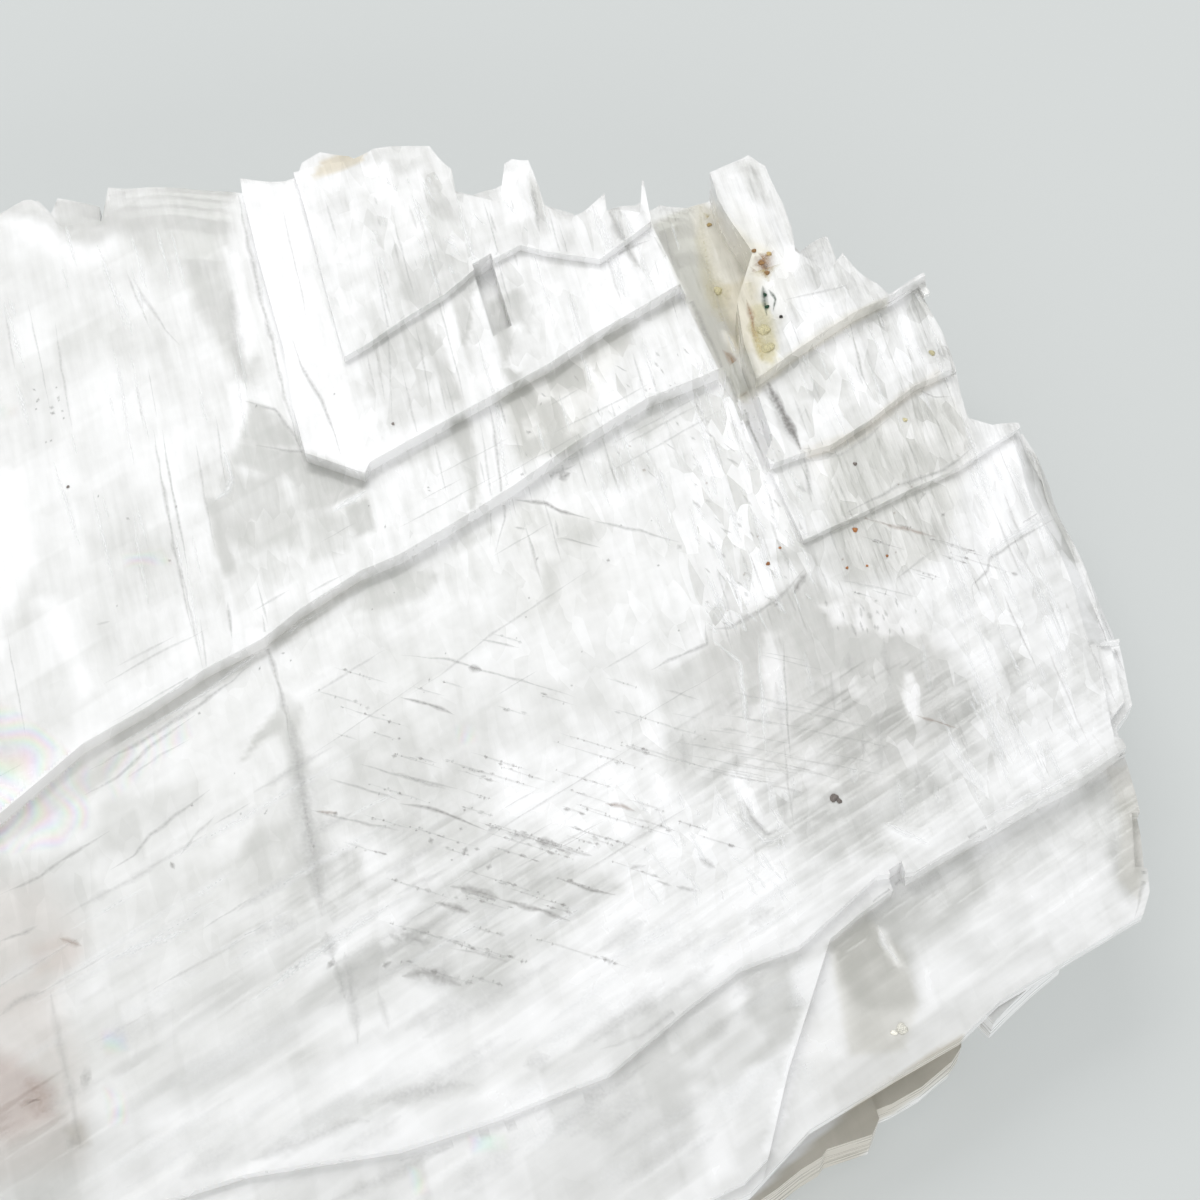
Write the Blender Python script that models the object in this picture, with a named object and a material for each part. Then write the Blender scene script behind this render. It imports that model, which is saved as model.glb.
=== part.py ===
"""A slab of selenite: one broken cleavage piece of clear gypsum, lying flat on its back face.

The slab is a stack of cleavage sheets, each with its own broken outline, fused into one solid.
Its upper face comes down towards +X and -Y in flat terraces, whose risers follow the long
cleavage. A recess splits the far edge, and splinters and ledges stand out from the sides.
+X runs along the slab's longest side, +Y to its splintered far edge and +Z up, out of its
upper face. The origin is at the bottom centre of its box.
"""

import math
import random

import bpy
import bmesh
from mathutils import Matrix, Vector

MM = 0.001
WELD = 0.00001

# Directions of the two cleavages that cross in the upper face, anticlockwise from +X.
LONG_CLEAVAGE = math.radians(36)
CROSS_CLEAVAGE = math.radians(-75)

# Heights above the resting face, in millimetres.
BASE_TOP = 4.4
LOW_BOTTOM = 4.0
LOW_TOP = 8.3
TOP = 16.0
CROWN_FACE = 15.2
UPPER_FACE = 13.8
RIGHT_SHELF_FACE = 12.9
MAIN_FACE = 12.2
WINDOW_FACE = 11.7
STRIP_FACE = 11.3
BLOCK_FACE = 10.3
RECESS_FLOOR = 11.0
CUT_CLEARANCE = 4.0

# The sheets that share the rim: name, bottom, top, how far the edge lies inside the rim, and
# how ragged it is.
RIM_SHEETS = [
    ("block_under_sheet", 7.9, 9.2, 0.6, 0.3),
    ("block_sheet", 9.0, 10.6, 0.0, 0.0),
    ("main_under_sheet", 10.4, 11.7, 0.6, 0.35),
    ("main_sheet", 11.5, 13.1, 0.1, 0.3),
    ("upper_sheet", 12.9, 14.5, 0.5, 0.3),
]
CROWN_BOTTOM = 14.3
RAGGED_SEED = 7

# The riser of the main face drops in two treads, and so does the upper one.
TREAD_SHIFT = (0.75, -1.0)
TREAD_RISE = 0.8

# Outlines in millimetres, seen from above and running clockwise from the far left corner.
RIM = [
    (-46, 44), (-43, 49), (-38, 48), (-34.5, 49), (-32.5, 50), (-31, 50), (-28.5, 47),
    (-25.5, 48), (-25, 52), (-18.5, 52), (-8.5, 52), (-6, 53), (-2.5, 54.5), (-0.5, 55.7),
    (4.5, 56), (6, 54), (7.5, 52), (8.5, 51.3), (10, 52), (12, 54), (13.5, 54), (14, 52.5),
    (15, 49), (17, 48.3), (18.5, 48.8), (20.5, 50), (23, 50.2), (24.5, 51.3), (25.5, 52),
    (28, 51), (31.5, 53.5), (33.5, 55), (35, 54), (36.5, 48.8), (37, 46.6), (38, 45),
    (40.5, 46.6), (41.5, 43.7), (44.5, 41.2), (45.5, 39), (48.7, 41.2),
    (50.5, 36), (51, 32), (52, 27), (53.5, 25.8), (56, 25.4), (56.5, 24.5), (58.5, 21.7),
    (59, 18), (60.5, 12.2), (62.5, 7.5), (63, 4.5), (64, 0), (62.5, -2.2), (63.2, -5),
    (63.7, -8), (64, -11), (64, -16.5), (63.3, -18.5), (56.4, -22.7), (51.4, -25.8),
    (48.1, -29), (43.2, -31.9), (39.3, -34.3), (36.1, -36.3), (31.4, -41.4), (26, -44),
    (20, -47.5), (14, -51.5), (6, -50), (0, -53.5), (-10, -56), (-18, -52), (-26, -54),
    (-36, -49), (-42, -42), (-50, -38), (-54, -28), (-60, -22), (-59, -10), (-64, 0),
    (-63, 12), (-58, 20), (-60, 28), (-54, 35), (-52, 43),
]
LOW_SHEET = [
    (-49, 43), (-45, 45), (-40, 46.5), (-34, 47.5), (-29, 49), (-25, 50.5), (-18, 50.5),
    (-8, 50.5), (-2, 52), (4, 54), (8, 51), (13, 52), (16, 50.5), (19, 51), (24, 50),
    (30, 50.5), (34, 52.5), (37, 45), (43, 42), (48, 39), (51, 30), (53, 25), (57, 22.5),
    (59.5, 13), (61.5, 5), (62.5, -2), (62, -8), (62, -14), (60, -17), (54, -20.5),
    (47, -24.5), (41, -28.5), (36, -32), (29, -38), (20, -44.5), (12, -49), (2, -50.5),
    (-8, -53.5), (-20, -51), (-30, -49), (-40, -41.5), (-49, -36), (-52, -26), (-58, -20),
    (-57, -8), (-62, 0), (-60, 12), (-56, 20), (-57.5, 28), (-52, 36),
]
BASE_SHEET = [
    (-48, 38), (-42, 42), (-30, 45), (-20, 47.5), (-6, 48), (4, 51), (12, 48.5), (22, 47),
    (32, 49), (36, 42), (46, 37), (49, 28), (55, 20), (58, 8), (60, -3), (59, -13),
    (52, -18.5), (42, -25), (33, -33), (22, -41), (10, -46), (-6, -50), (-22, -48),
    (-38, -39), (-48, -32), (-50, -22), (-55, -14), (-58, 0), (-56, 14), (-54, 26),
]

# Splinters and ledges that stand out from the sheets: name, bottom, top and outline.
LEDGES = [
    ("front_ledge", 1.2, 4.9,
     [(49, -25.7), (48.8, -27.6), (48, -28.8), (45.5, -30.9), (43.1, -32.3), (41.4, -33),
      (40.7, -31.3), (39, -24), (48, -19)]),
    ("front_shelf", 0.9, 5.6,
     [(41.9, -33.8), (41.3, -35.1), (37.7, -36.3), (37.3, -36.9), (35.7, -37.9),
      (33.7, -39.5), (29.5, -42.4), (25, -40), (34, -28), (40, -27)]),
    ("front_chip", 5.2, 8.8,
     [(51, -27), (52.7, -25.3), (54.5, -23.6), (57, -21.5), (54, -18), (47, -22)]),
    ("far_brown_chip", 9.2, 14.4,
     [(-8.5, 49), (-7.2, 54.6), (-5.6, 55.9), (-3, 56), (-1.2, 55.2), (0.5, 49)]),
    ("far_step", 8.6, 13.1, [(13.2, 46), (14.2, 51.2), (17.6, 50.6), (19, 45)]),
    ("far_left_step", 8.8, 12.6, [(-31, 45), (-29.5, 50.4), (-25.6, 50), (-25, 45)]),
    ("left_step", 5.1, 9.7, [(-57, 20), (-61.8, 24), (-60.4, 31.5), (-53, 30)]),
    ("near_left_step", 2.3, 7.1, [(-50, -30), (-57.5, -30), (-54, -36.5), (-44, -37)]),
]

# The long cleavage steps of the upper face. Each runs from left to right along its riser.
MAIN_RISER = [
    (-66, -44), (-52, -31), (-44, -24.5), (-36, -17), (-28.1, -11.4), (-21.9, -5),
    (-17.2, -1.9), (-12.6, 1.8), (-7.8, 4.8), (-5, 7.5), (-0.2, 11.1), (3.1, 12.8),
    (7.3, 15.8), (12.7, 19.8), (18.3, 24.4), (24, 28.6), (30.5, 31.8), (34.1, 22.2),
    (36.5, 15.8), (40.5, 17.9), (45.8, 20.9), (49.8, 22.9), (54, 25.4), (62, 30),
]
UPPER_RISER = [
    (-14.6, 60), (-13, 51.1), (-11.2, 43.8), (-8.4, 34), (-7.2, 27.7), (-5.7, 22.3),
    (0, 20), (0.4, 21.1), (2.9, 22.9), (8.3, 26.5), (11.3, 28.5), (15.6, 31.4),
    (20, 34.9), (22.2, 36.5), (27.1, 40), (30.2, 31.2), (31.7, 28.3), (34.3, 30.4),
    (37.5, 33.1), (42, 36.5), (45.2, 38.5), (48, 40.3), (60, 48),
]
CROWN_RISER = [
    (-10, 60), (-7, 50), (-4.5, 40), (-2.2, 31.5), (-0.1, 33.1), (3.3, 36), (6.3, 38.2),
    (8.9, 41), (12.9, 43.6), (15, 43), (20, 42.1), (24.5, 46.2), (26, 60),
]
RIGHT_SHELF_RISER = [
    (33, 20), (34.6, 21.8), (37.5, 23.1), (39.8, 23.8), (43.4, 26.4), (47.5, 30.1),
    (50.2, 31.6), (60, 38),
]
STRIP_RISER = [
    (-80, -62), (-40, -49), (-20, -45), (-6.5, -40.5), (4.9, -38.6), (12.4, -36),
    (20.8, -32.5), (27, -27), (31, -23.8), (35.7, -22), (42, -16),
]
BLOCK_RISER = [
    (72, 1), (62.6, -4.8), (59.1, -7.4), (55.7, -9.2), (50.6, -12.3), (47.3, -14.2),
    (44, -16.3), (40.6, -18.9), (38.2, -21), (36.5, -26), (34.5, -32), (30, -50),
]

# The shallow clear window in the main face, and the recess with clay in the far edge.
WINDOW = [
    (24.1, 2.8), (28.3, 4.8), (29.2, 7.5), (31.3, 7), (33.4, 8.5), (35.6, 10.4),
    (37.3, 12.4), (46, 12), (51, 7), (52, -1), (49, -8), (42, -10.5), (33, -12), (26, -5),
]
RECESS = [
    (22.6, 60), (24.5, 46.8), (28, 37.9), (30.5, 31.5), (32.2, 28.4), (34.1, 22.2),
    (34.9, 24.6), (33.7, 29.3), (32.6, 33.4), (32.1, 38), (33.6, 43.4), (30.6, 49), (28.6, 60),
]

# Shallow blades parted along the cross cleavage: x and y of the far end, length, width, depth.
BLADES = [
    (5.2, 36.4, 6.0, 2.4, 0.5), (8.7, 41.5, 7.5, 2.0, 0.6), (8.3, 26.0, 7.5, 2.2, 0.55),
    (12.6, 38.5, 9.5, 2.2, 0.45), (14.5, 29.4, 7.0, 6.5, 0.4), (24.6, 27.5, 17.0, 1.5, 0.35),
    (28.6, 25.5, 19.0, 1.3, 0.4), (51.0, 21.0, 23.0, 1.8, 0.4), (55.6, 17.0, 21.0, 1.6, 0.55),
    (-16.4, 24.5, 23.0, 0.8, 0.4), (-28.5, 37.5, 15.0, 1.2, 0.35), (-9.0, 5.0, 24.0, 0.9, 0.6),
    (43.0, -15.5, 9.5, 1.3, 0.5), (33.0, 1.5, 12.0, 2.1, 0.4), (-41.0, 32.0, 21.0, 1.1, 0.35),
    (-2.0, 50.5, 10.0, 1.2, 0.5), (2.6, 53.5, 9.0, 0.9, 0.6), (-20.0, 50.5, 12.0, 1.0, 0.4),
    (17.0, 46.5, 6.0, 1.1, 0.5), (40.5, 33.0, 7.5, 1.6, 0.4), (-48.0, 12.0, 17.0, 1.3, 0.4),
]

# Shallow treads along the long cleavage: x and y of the left end, length, width, depth.
TREADS = [
    (-34.0, -24.0, 21.0, 1.6, 0.45), (-30.5, -31.0, 30.0, 2.2, 0.4), (-8.0, -28.5, 26.0, 1.3, 0.35),
    (-16.0, -42.5, 24.0, 2.0, 0.35), (10.0, -13.5, 17.0, 1.1, 0.3), (-50.0, -5.0, 19.0, 1.4, 0.3),
    (-38.0, 2.5, 22.0, 1.0, 0.35), (2.5, 23.0, 14.0, 0.9, 0.5), (41.5, -25.0, 16.0, 1.6, 0.4),
    (26.0, -39.0, 13.0, 1.7, 0.5), (-56.0, 8.5, 14.0, 1.2, 0.4), (13.0, -46.0, 14.0, 1.5, 0.45),
]

# The slope at the right of the main face: the line where it starts to fall, and how steeply.
BEVEL_START = (54.7, 25.6)
BEVEL_END = (60.3, 5.0)
BEVEL_TILT = math.radians(40)
BEVEL_BLOCK = 8.0

# Chips broken out of the edges: name, depth from the top, and outline.
CHIPS = [
    ("chip_far_left", 13.0, [(-41, 60), (-40.2, 46.6), (-36.6, 45.4), (-34.8, 60)]),
    ("chip_far_band", 14.6, [(-25.6, 60), (-24.4, 49.6), (-14.2, 49.9), (-14, 60)]),
    ("chip_far_middle", 14.2, [(5.8, 60), (7, 49.6), (11, 48.4), (11.8, 60)]),
    ("chip_far_right", 14.1, [(19.4, 60), (20.6, 48), (23.6, 47.2), (24.2, 60)]),
    ("chip_tooth", 13.2, [(36, 60), (37.4, 43.4), (40.2, 41), (44, 48)]),
    ("chip_right", 10.9, [(70, 6), (60.8, 5.2), (61.6, 0.8), (62, -3.6), (70, -6)]),
    ("chip_right_lower", 9.1, [(70, -9), (63.2, -9.6), (63, -14.4), (70, -15)]),
    ("chip_left", 12.4, [(-70, 12), (-60, 10), (-56, 18), (-57.6, 27), (-70, 30)]),
    ("chip_left_lower", 10.6, [(-70, -6), (-57, -9), (-54, -20), (-48, -27), (-52, -40)]),
    ("chip_near_left", 9.2, [(-24, -70), (-20, -50), (-31, -46.5), (-44, -38), (-60, -45)]),
]

CRYSTAL_COLOUR = (0.93, 0.93, 0.915, 1.0)
CRYSTAL_ROUGHNESS = 0.08
GYPSUM_IOR = 1.52


def clear_scene():
    """Removes every object that the scene starts with."""
    for thing in list(bpy.data.objects):
        bpy.data.objects.remove(thing, do_unlink=True)


def new_collection(name):
    group = bpy.data.collections.new(name)
    bpy.context.scene.collection.children.link(group)
    return group


def crystal_material():
    """Clear gypsum, a little silvery."""
    material = bpy.data.materials.new("selenite")
    material.use_nodes = True
    shader = material.node_tree.nodes["Principled BSDF"]
    shader.inputs["Base Color"].default_value = CRYSTAL_COLOUR
    shader.inputs["Metallic"].default_value = 0.0
    shader.inputs["Roughness"].default_value = CRYSTAL_ROUGHNESS
    shader.inputs["IOR"].default_value = GYPSUM_IOR
    return material


def prism(name, outline, bottom, top, group):
    """An upright solid between two heights, from a flat closed outline. All in millimetres."""
    flat = bpy.data.curves.new(name, "CURVE")
    flat.dimensions = "2D"
    flat.fill_mode = "BOTH"
    flat.extrude = (top - bottom) / 2 * MM
    spline = flat.splines.new("POLY")
    spline.points.add(len(outline) - 1)
    for point, (x, y) in zip(spline.points, outline):
        point.co = (x * MM, y * MM, 0, 1)
    spline.use_cyclic_u = True
    drawn = bpy.data.objects.new(name + "_outline", flat)
    drawn.location.z = (top + bottom) / 2 * MM
    group.objects.link(drawn)
    return mesh_from_curve(drawn, name, group)


def mesh_from_curve(drawn, name, group):
    """Turns a drawn curve into a closed mesh object in the same place."""
    bpy.context.view_layer.update()
    evaluated = drawn.evaluated_get(bpy.context.evaluated_depsgraph_get())
    mesh = bpy.data.meshes.new_from_object(evaluated)
    weld = bmesh.new()
    weld.from_mesh(mesh)
    bmesh.ops.remove_doubles(weld, verts=weld.verts, dist=WELD)
    bmesh.ops.recalc_face_normals(weld, faces=weld.faces)
    weld.to_mesh(mesh)
    weld.free()
    mesh.name = name
    solid = bpy.data.objects.new(name, mesh)
    solid.matrix_world = drawn.matrix_world
    group.objects.link(solid)
    bpy.data.objects.remove(drawn, do_unlink=True)
    return solid


def inset(outline, distance):
    """The outline moved inwards by a small distance. The outline runs clockwise."""
    moved = []
    for i, (x, y) in enumerate(outline):
        before = Vector(outline[i - 1])
        after = Vector(outline[(i + 1) % len(outline)])
        along = (after - before).normalized()
        inward = Vector((along.y, -along.x))
        moved.append((x + inward.x * distance, y + inward.y * distance))
    return moved


def ragged(outline, amount, dice):
    """The outline with each point moved by a random distance inwards."""
    moved = []
    for point, inner in zip(outline, inset(outline, amount)):
        share = dice.random()
        moved.append(tuple(p + (q - p) * share for p, q in zip(point, inner)))
    return moved


def cleavage_strip(x, y, length, width, along, across):
    """A long parallelogram whose sides follow the two cleavages, clockwise or not."""
    corner = Vector((x, y))
    run = Vector((math.cos(along), math.sin(along))) * length
    side = Vector((math.cos(across), math.sin(across))) * width
    return [tuple(p) for p in (corner, corner + run, corner + run + side, corner + side)]


def face_height(x, y):
    """The height of the terrace that a point of the upper face lies on."""
    face = TOP
    for name, height, outline in terrace_cuts():
        if inside(x, y, outline):
            face = min(face, height)
    return face


def inside(x, y, outline):
    """True where a point lies within a closed outline."""
    crossings = 0
    for i, (x1, y1) in enumerate(outline):
        x0, y0 = outline[i - 1]
        if (y0 > y) != (y1 > y) and x < x0 + (y - y0) * (x1 - x0) / (y1 - y0):
            crossings += 1
    return crossings % 2 == 1


def strip_cuts(rows, stem, along, across):
    """Shallow cuts below the terraces that they start on: name, face and outline."""
    cuts = []
    for number, (x, y, length, width, depth) in enumerate(rows):
        outline = cleavage_strip(x, y, length, width, along, across)
        middle_x = sum(p[0] for p in outline) / len(outline)
        middle_y = sum(p[1] for p in outline) / len(outline)
        face = face_height(middle_x, middle_y) - depth
        cuts.append((f"{stem}_{number}", face, outline))
    return cuts


def bevel_wedge(group):
    """A tilted block that takes the right-hand edge of the main face off at a slope."""
    start = Vector((*BEVEL_START, MAIN_FACE)) * MM
    end = Vector((*BEVEL_END, MAIN_FACE)) * MM
    run = end - start
    bpy.ops.mesh.primitive_cube_add(size=1)
    wedge = bpy.context.object
    wedge.name = "right_bevel"
    wedge.data.transform(Matrix.Translation((0, 0.5, 0.5)))
    wedge.data.transform(Matrix.Diagonal((run.length, BEVEL_BLOCK * MM, BEVEL_BLOCK * MM, 1)))
    wedge.matrix_world = (
        Matrix.Translation((start + end) / 2)
        @ Matrix.Rotation(math.atan2(run.y, run.x), 4, "Z")
        @ Matrix.Rotation(-BEVEL_TILT, 4, "X")
    )
    for holder in list(wedge.users_collection):
        holder.objects.unlink(wedge)
    group.objects.link(wedge)
    return wedge


def combine(body, tool, operation):
    """Adds or takes away another solid with a Boolean, and keeps the other as a hidden guide."""
    tool.hide_render = True
    tool.display_type = "WIRE"
    modifier = body.modifiers.new(tool.name, "BOOLEAN")
    modifier.operation = operation
    modifier.solver = "EXACT"
    modifier.object = tool


def sheets_to_add(group):
    """The sheets under the crown, and the splinters that stand out from them."""
    dice = random.Random(RAGGED_SEED)
    added = []
    for name, bottom, top, margin, raggedness in RIM_SHEETS:
        outline = ragged(inset(RIM, margin), raggedness, dice)
        added.append(prism(name, outline, bottom, top, group))
    added.append(prism("low_sheet", LOW_SHEET, LOW_BOTTOM, LOW_TOP, group))
    added.append(prism("base_sheet", BASE_SHEET, 0.0, BASE_TOP, group))
    for name, bottom, top, outline in LEDGES:
        added.append(prism(name, outline, bottom, top, group))
    return added


def moved(outline, shift):
    return [(x + shift[0], y + shift[1]) for x, y in outline]


def terrace_cuts():
    """What is cut away above each terrace: name, height of the face that is left, outline."""
    near = [(90, -90), (-90, -90)]
    upper = UPPER_RISER + [(90, 48)] + near + [(-90, 60)]
    main_face = MAIN_RISER + [(90, 30)] + near + [(-90, -60)]
    return [
        ("crown_cut", CROWN_FACE, CROWN_RISER + [(90, 60)] + near + [(-90, 60)]),
        ("upper_cut", UPPER_FACE + TREAD_RISE, upper),
        ("upper_tread_cut", UPPER_FACE, moved(upper, TREAD_SHIFT)),
        ("right_shelf_cut", RIGHT_SHELF_FACE, RIGHT_SHELF_RISER + [(90, 38), (90, -90), (40, -90)]),
        ("main_cut", MAIN_FACE + TREAD_RISE, main_face),
        ("main_tread_cut", MAIN_FACE, moved(main_face, TREAD_SHIFT)),
        ("window_cut", WINDOW_FACE, WINDOW),
        ("strip_cut", STRIP_FACE, STRIP_RISER + [(90, -10)] + near),
        ("block_cut", BLOCK_FACE, BLOCK_RISER + [(90, -60), (90, 1)]),
        ("recess_cut", RECESS_FLOOR, RECESS),
    ]


def cuts_to_make(group):
    """Every solid that is taken away from the stack of sheets."""
    rows = terrace_cuts() + CHIPS
    rows += strip_cuts(BLADES, "blade", CROSS_CLEAVAGE, LONG_CLEAVAGE)
    rows += strip_cuts(TREADS, "tread", LONG_CLEAVAGE, CROSS_CLEAVAGE)
    cutters = [prism(name, outline, face, TOP + CUT_CLEARANCE, group) for name, face, outline in rows]
    return cutters + [bevel_wedge(group)]


def main():
    clear_scene()
    slab_group = new_collection("selenite_slab")
    guide_group = new_collection("cutters")
    slab = prism("slab", RIM, CROWN_BOTTOM, TOP, slab_group)
    sheets = sheets_to_add(guide_group)
    cutters = cuts_to_make(guide_group)
    for sheet in sheets:
        combine(slab, sheet, "UNION")
    for cutter in cutters:
        combine(slab, cutter, "DIFFERENCE")
    slab.data.materials.clear()
    slab.data.materials.append(crystal_material())


main()
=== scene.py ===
"""The looks of the selenite slab: its clear and milky crystal, its marks, floor, lights and camera.

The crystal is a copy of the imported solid, cut into a fine lattice along its two cleavages and
given low relief. What differs from place to place, such as milky zones and clear windows, is
painted onto its corners as numbers, and the material reads them with procedural grain.
Places are given by pixels of the 1200 x 1200 picture, and land on the slab by the camera.
"""
import math

import bmesh
import bpy
import numpy as np
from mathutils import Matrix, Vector
from mathutils.bvhtree import BVHTree
from mathutils.geometry import delaunay_2d_cdt


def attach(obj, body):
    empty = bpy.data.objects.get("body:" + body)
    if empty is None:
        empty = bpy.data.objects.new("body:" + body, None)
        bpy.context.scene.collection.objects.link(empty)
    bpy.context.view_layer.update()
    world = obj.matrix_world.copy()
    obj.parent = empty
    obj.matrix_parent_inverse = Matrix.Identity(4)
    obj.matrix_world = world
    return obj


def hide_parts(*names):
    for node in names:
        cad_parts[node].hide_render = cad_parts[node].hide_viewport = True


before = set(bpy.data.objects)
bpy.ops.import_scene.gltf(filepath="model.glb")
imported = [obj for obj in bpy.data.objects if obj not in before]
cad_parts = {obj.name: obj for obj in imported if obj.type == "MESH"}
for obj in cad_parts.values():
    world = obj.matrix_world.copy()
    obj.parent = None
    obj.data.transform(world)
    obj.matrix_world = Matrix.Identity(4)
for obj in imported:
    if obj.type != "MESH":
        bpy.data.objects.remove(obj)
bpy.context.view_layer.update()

MM = 0.001
SLAB = "slab"
BODY = "root"

# The camera looks down on the slab along +Y. Picture pixels are those of the whole frame.
PICTURE = 1200
ELEVATION = math.radians(60)
LENS = 85.0
SENSOR = 36.0
DISTANCE = 0.236
TARGET = np.array([0.0200, 0.0083, 0.0140])
VIEW_BACK = np.array([0.0, -math.cos(ELEVATION), math.sin(ELEVATION)])
VIEW_RIGHT = np.array([1.0, 0.0, 0.0])
VIEW_UP = np.cross(VIEW_RIGHT, -VIEW_BACK)
CAMERA_AT = TARGET + DISTANCE * VIEW_BACK
FOCAL_PIXELS = LENS / SENSOR * PICTURE
PIXEL_SIZE = DISTANCE / FOCAL_PIXELS
CLIP_START = 0.01

# The lamps: name, place, width and height in metres, power in watts. Then the colours and
# strengths of the sky and of the floor, which glows a little.
LAMPS = [
    ("key", (-0.18, 0.46, 0.64), (0.7, 0.5), 3.0),
    ("front", (0.10, -0.75, 0.34), (0.9, 0.4), 2.4),
]
SKY = (0.97, 0.985, 1.0, 1)
SKY_STRENGTH = 0.63
FLOOR = (0.335, 0.345, 0.342, 1)
FLOOR_GLOW = (0.96, 1.0, 0.985, 1)
FLOOR_GLOW_STRENGTH = 0.345
FLOOR_SIDE = 8
FLOOR_DROP = 0.2 * MM

# Directions of the two cleavages in the upper face, anticlockwise from +X.
LONG_CLEAVAGE = math.radians(36)
CROSS_CLEAVAGE = math.radians(-75)

# The lattice of the upper faces, the longest edge elsewhere, and the gap kept to a face's edge.
LATTICE = 0.42 * MM
EDGE_STEP = 0.7 * MM
EDGE_GAP = 0.18 * MM

# Noise looks up a square of random numbers with this many on a side.
TABLE = 256

# Corners and heights this near are one. Faces that bend less than ONE_PLANE lie in one plane,
# and edges that bend more than SHARP_EDGE look sharp.
TOUCH = 0.001 * MM
ONE_PLANE = math.radians(0.5)
SHARP_EDGE = math.radians(24)

# How far a face's normal rises: more than LEVEL on a terrace, more than UPPER_SIDE on a face that
# is shaded smoothly, and less than UPRIGHT, up or down, on a wall.
LEVEL = 0.999
UPPER_SIDE = 0.8
UPRIGHT = 0.1

# A shallow cut: its least and greatest depth, its greatest area, and the lowest terrace with any.
LEAST_CUT = 0.2 * MM
CUT_DEPTH = 0.62 * MM
CUT_AREA = 80 * MM ** 2
LOWEST_TERRACE = 9.0 * MM

# Heights in the solid and in the crystal: the two long risers' treads are dropped onto the
# terraces below them, and the clear window's shallow floor is raised to the face around it.
TREADS = [(13.0 * MM, 12.2 * MM), (14.6 * MM, 13.8 * MM)]
WINDOW_FLOOR = (11.7 * MM, 12.2 * MM)
# The notch that the long crack's head cuts into the riser: where its corners are, where they go.
NOTCH_REACH = 0.02 * MM
NOTCH = [
    ((-9.0 * MM, 5.0 * MM), (-8.53 * MM, 4.34 * MM)),
    ((-8.27 * MM, 5.53 * MM), (-8.29 * MM, 4.50 * MM)),
]

# Small sideways shifts of the crystal's rim: where, in picture pixels at the height of the upper
# terraces, how far to the right and down in pixels, and how far around it is felt.
SHIFT_LEVEL = 14.0 * MM
SHIFTS = [
    ((50, 210), (0, -11), 85),
    ((165, 195), (0, -6), 60),
    ((275, 185), (0, 8), 60),
    ((365, 168), (0, 13), 90),
    ((440, 165), (0, 13), 55),
    ((525, 175), (0, 9), 45),
    ((572, 215), (0, 17), 55),
    ((690, 215), (0, -14), 45),
    ((760, 175), (0, 10), 55),
    ((822, 250), (0, -7), 35),
    ((870, 268), (0, 15), 50),
    ((955, 360), (5, 0), 80),
    ((1015, 430), (12, -15), 75),
    ((1085, 545), (15, -2), 130),
    ((1125, 640), (6, 0), 60),
]

# The upper faces' relief, above RELIEF_FROM, in millimetres: cross fibres, long treads, slow
# swell and ripple.
RELIEF_FROM = 9.5 * MM
FIBRE_RELIEF = 0.06
TREAD_RELIEF = 0.05
SWELL_RELIEF = 0.28
RIPPLE_RELIEF = 0.04

# Heights between which the slab's lower sides, layered in thin beds, pass into its upper edges.
SKIRT_TOP = (8.0 * MM, 10.5 * MM)

# The crystal's material. As whiteness rises through its range, the share of light let through, the shade
# of red and green, that of blue, and the roughness pass from the first value to the second.
GYPSUM_IOR = 1.52
WHITENESS = (0.0, 1.25)
LET_THROUGH = (0.52, 0.0)
SHADE = (0.877, 0.951)
SHADE_BLUE = (0.837, 0.951)
ROUGHNESS = (0.06, 0.30)
BUMP_STRENGTH = 0.5
BUMP_DEPTH = 0.25 * MM

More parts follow.
